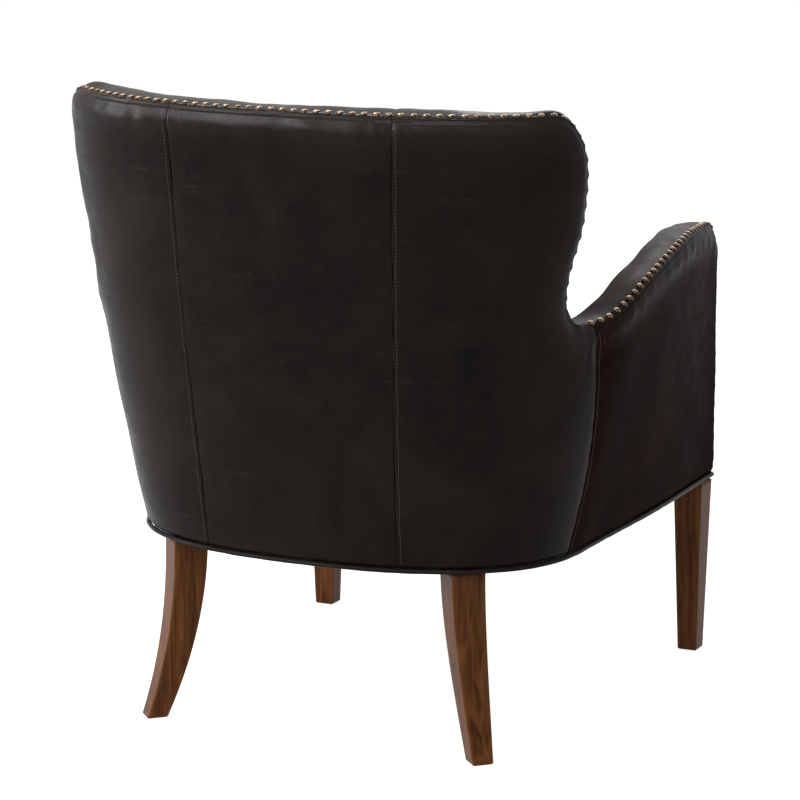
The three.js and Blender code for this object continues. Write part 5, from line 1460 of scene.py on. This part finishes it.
def build_cushion():
    points, faces = lofted(cushion_rings())
    normals = vertex_normals(points, turned_outward(points, faces))
    welts = {"bottom": CUSHION_BOTTOM + CUSHION_WELT_RADIUS, "top": CUSHION_TOP - CUSHION_WELT_RADIUS}
    outline = seat_outline(CUSHION_WELT_RADIUS)
    to_edge = np.minimum(*(nearest(points, level_ring(outline, z))[0] for z in welts.values()))
    near, broad = CUSHION_WAVES
    wrinkle = waves(points, near, 101) * np.exp(-to_edge / 0.05) + waves(points, broad, 102)
    points = points + normals * (wrinkle * smooth(0.002, 0.02, to_edge))[:, None]
    points[:, 2] = np.maximum(points[:, 2], DECK_TOP + 0.0004)
    add_piece("seat_cushion", points, faces, INSIDE_LEATHER,
              ["cushion_foam", "cushion_top_panel", "cushion_bottom_panel", "cushion_boxing"],
              body="cushion")
    for place, z in welts.items():
        path = level_ring(seat_outline(CUSHION_WELT_RADIUS * 0.9), z)
        add_piping(f"cushion_{place}_piping", f"cushion_{place}_welt", path, CUSHION_WELT_RADIUS, 10, 9,
                   "cushion")


# Cover under the seat
def leg_holes():
    """Closed outlines that clear the four legs."""
    rear = shell_point(REAR_LEG_STATION_SHARE, UNDERSIDE, REAR_LEG_INSET)[:2]
    outlines = []
    for place, side, turn in ((FRONT_LEG, FRONT_LEG_TOP, 0), (rear, REAR_LEG_TOP, math.pi / 4)):
        half = side / 2 + DUST_HOLE_MARGIN / 2
        square = half * np.array([[1, 1], [-1, 1], [-1, -1], [1, -1], [1, 1]])
        ring = np.vstack([np.linspace(a, b, 6)[:-1] for a, b in zip(square, square[1:])])
        ring = rotated(ring, turn) + place
        outlines += [ring, ring * [-1, 1]]
    return outlines


def inside_of(outline, points):
    """Whether each point lies inside a closed outline."""
    a, b = outline[:, None], np.roll(outline, -1, axis=0)[:, None]
    straddles = (a[..., 1] > points[:, 1]) != (b[..., 1] > points[:, 1])
    rise = np.where(straddles, b[..., 1] - a[..., 1], 1)
    crossing = a[..., 0] + (points[:, 1] - a[..., 1]) / rise * (b[..., 0] - a[..., 0])
    return (straddles & (points[:, 0] < crossing)).sum(axis=0) % 2 == 1


def covered(loops, points):
    """Whether each point is inside the first loop and outside the others."""
    holes = np.any([inside_of(loop, points) for loop in loops[1:]], axis=0)
    return inside_of(loops[0], points) & ~holes


def filled_plan(loops):
    """Points and triangles between the first loop and the holes in it."""
    low, high = loops[0].min(axis=0), loops[0].max(axis=0)
    across, along = (np.arange(low[k] + DUST_GRID / 2, high[k], DUST_GRID) for k in (0, 1))
    spread = np.stack(np.meshgrid(across, along), axis=-1).reshape(-1, 2)
    borders = np.vstack(loops)
    spread = spread[(nearest(spread, borders)[0] > DUST_GRID * 0.4) & covered(loops, spread)]
    links = []
    for loop in loops:
        first = len(links)
        links += [[first + k, first + (k + 1) % len(loop)] for k in range(len(loop))]
    places = [Vector(place) for place in np.vstack([borders, spread])]
    made = delaunay_2d_cdt(places, links, [], 0, 1e-6)
    flat, faces = np.array([list(place) for place in made[0]]), np.array(made[2])
    used, faces = renumbered(faces[covered(loops, flat[faces].mean(axis=1))])
    return flat[used], faces


def build_dust_cover():
    start = float(station_at_y(FRONT_Y + DUST_INSET, UNDERSIDE))
    edge = shell_point(np.linspace(start, END_STATION - start, 150), UNDERSIDE, DUST_INSET)[:, :2]
    outline = np.vstack([edge, np.linspace(edge[-1], edge[0], 40)[1:-1]])
    loops = [outline, *leg_holes()]
    flat, faces = filled_plan(loops)
    distance = nearest(flat, np.vstack(loops))[0]
    height, length = DUST_WAVE
    sag = DUST_SAG * (1 - bump(distance, DUST_REACH))
    sag += height * (1 + ripple(level_ring(flat, 0.0), length, 95)) * smooth(0, 0.02, distance)
    top = level_ring(flat, UNDERSIDE - DUST_DROP - sag)
    points, faces = layered(top, top - [0, 0, DUST_THICKNESS], faces)
    piece = add_piece("dust_cover_cloth", points, faces, BLACK_CLOTH, ["dust_cover"])
    ahead = np.roll(outline, -1, axis=0)
    area = abs((outline[:, 0] * ahead[:, 1] - ahead[:, 0] * outline[:, 1]).sum()) / 2


# Zip of the cushion
def box_rings(centre, size, ease):
    """A box along x whose ends are drawn in a little, as four rings of four corners."""
    half = np.array(size) / 2
    corners = np.array([[-1, -1], [1, -1], [1, 1], [-1, 1]])
    rings = [np.column_stack([np.full(4, half[0] * way), corners * (half[1:] - drawn)])
             for way, drawn in ((-1, ease), (-0.76, 0), (0.76, 0), (1, ease))]
    return np.array(rings) + centre


def add_boxes(name, boxes, body, nodes=()):
    points = np.array(boxes).reshape(-1, 3)
    faces = join_copies(points, tube_faces(boxes[0]), len(boxes))
    piece = add_piece(name, points, faces, BRASS, nodes, body, closed=False)
    paint(piece, "rise", np.full(len(points), 0.8))


def zip_tape_rings():
    section = np.array([*ZIP_SECTION, *(np.array(ZIP_SECTION[-2::-1]) * [-1, 1])])
    outer = np.column_stack([section[:, 1], ZIP_MIDDLE + ZIP_HALF_HEIGHT * section[:, 0]])
    inner = np.column_stack([np.full(len(section), ZIP_BACK_Y), outer[:, 1]])[::-1]
    ring = np.vstack([outer, inner])
    middle = np.array([ZIP_BACK_Y, ZIP_MIDDLE])
    rings = []
    for x in np.linspace(-ZIP_HALF_LENGTH, ZIP_HALF_LENGTH, 60):
        drawn = 0.25 * (1 - smooth(0, 0.003, ZIP_HALF_LENGTH - abs(x)))
        rings.append(np.column_stack([np.full(len(ring), x), ring + (middle - ring) * drawn]))
    return np.array(rings)


def build_zip():
    rings = zip_tape_rings()
    add_piece("zip_tape_cloth", rings, tube_faces(rings), BLACK_CLOTH, ["cushion_zip_tape"],
              body="cushion")
    count = int(2 * (ZIP_HALF_LENGTH - TEETH_MARGIN) / TOOTH_PITCH)
    places = [((k - (count - 1) / 2) * TOOTH_PITCH, TOOTH_Y, ZIP_MIDDLE - (-1) ** k * TOOTH_SHIFT)
              for k in range(count)]
    add_boxes("zip_teeth", [box_rings(place, TOOTH_SIZE, TOOTH_EASE) for place in places], "cushion")
    pull = [box_rings((PULL_X, y, ZIP_MIDDLE - drop), size, ease) for y, drop, size, ease in PULL_PARTS]
    add_boxes("zip_pull", pull, "zip_slider", ["cushion_zip_slider"])


# Materials of the frame's own pieces
SLOT_FINISHES = {"frame_wood": HARDWOOD, "leg_wood": WALNUT, "steel": STEEL, "aged_brass": BRASS,
                 "cloth": BLACK_CLOTH, "foam": FOAM, "leather": BACK_LEATHER}


def finish_frame():
    for part in frame["record"]["subparts"]:
        materials = frame["nodes"][part["node"]].data.materials
        materials.clear()
        materials.append(SLOT_FINISHES[part["material_slot"]])


# Stage
def seen_directly(finish):
    """1 for rays from the camera, from a gloss or through glass."""
    path = finish.add("ShaderNodeLightPath")
    direct = finish.sum("MAXIMUM", path.outputs["Is Camera Ray"], path.outputs["Is Glossy Ray"])
    return finish.sum("MAXIMUM", direct, path.outputs["Is Transmission Ray"])


def build_floor():
    mesh = bpy.data.meshes.new("floor")
    corners = [[-1, -1], [1, -1], [1, 1], [-1, 1]]
    mesh.from_pydata([[FLOOR_HALF * x, FLOOR_HALF * y, 0] for x, y in corners], [], [[0, 1, 2, 3]])
    finish = new_finish("pale_floor")
    glow = finish.add("ShaderNodeEmission", {"Color": (1, 1, 1, 1), "Strength": 0.86})
    matt, plain = (finish.add("ShaderNodeBsdfDiffuse", {"Color": (grey, grey, grey, 1)}).outputs[0]
                   for grey in (0.36, 0.80))
    lit = finish.add("ShaderNodeAddShader", {0: glow.outputs[0], 1: matt}).outputs[0]
    choice = finish.add("ShaderNodeMixShader", {0: seen_directly(finish), 1: plain, 2: lit})
    finish.feed(finish.nodes["Material Output"].inputs["Surface"], choice.outputs[0])
    finish.nodes.remove(finish.nodes["Principled BSDF"])
    mesh.materials.append(finish.owner)
    linked("floor", mesh)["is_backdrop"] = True


def build_world():
    world = bpy.data.worlds.new("studio")
    bpy.context.scene.world = world
    sky = Finish(world)
    background = sky.nodes["Background"].inputs
    sky.feed(background["Color"], (1, 1, 1, 1))
    sky.feed(background["Strength"], sky.between(seen_directly(sky), 0.0, 1.0, WORLD_LIGHT, 1.0))


def build_lamps():
    for name, (place, aim, width, height, power) in LAMPS.items():
        light = bpy.data.lights.new(name, "AREA")
        light.shape = "RECTANGLE"
        light.size, light.size_y = width, height
        light.energy = power
        lamp = linked(name, light)
        lamp.location = place
        lamp.rotation_euler = (Vector(aim) - Vector(place)).to_track_quat("-Z", "Y").to_euler()


def build_camera():
    data = bpy.data.cameras.new("camera")
    data.lens = CAMERA_LENS
    data.sensor_width = CAMERA_SENSOR
    camera = linked("camera", data)
    camera.location = CAMERA_PLACE
    look = (Vector(CAMERA_AIM) - Vector(CAMERA_PLACE)).to_track_quat("-Z", "Y")
    camera.rotation_mode = "QUATERNION"
    camera.rotation_quaternion = look @ Quaternion((0, 0, 1), CAMERA_ROLL)
    bpy.context.scene.camera = camera


build_camera()
finish_frame()
add_stitches("seam_stitches", build_outside())
dress_inside_back()
build_arms()
build_facings()
build_front_border()
build_boards()
build_nails()
build_welt()
build_legs()
build_deck()
build_cushion()
build_dust_cover()
build_zip()
build_floor()
build_world()
build_lamps()
bpy.context.scene.view_settings.view_transform = "Standard"

visual_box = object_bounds()
({"cad": [list(corner) for corner in CAD_BOX],
           "visual": [list(corner) for corner in visual_box]})
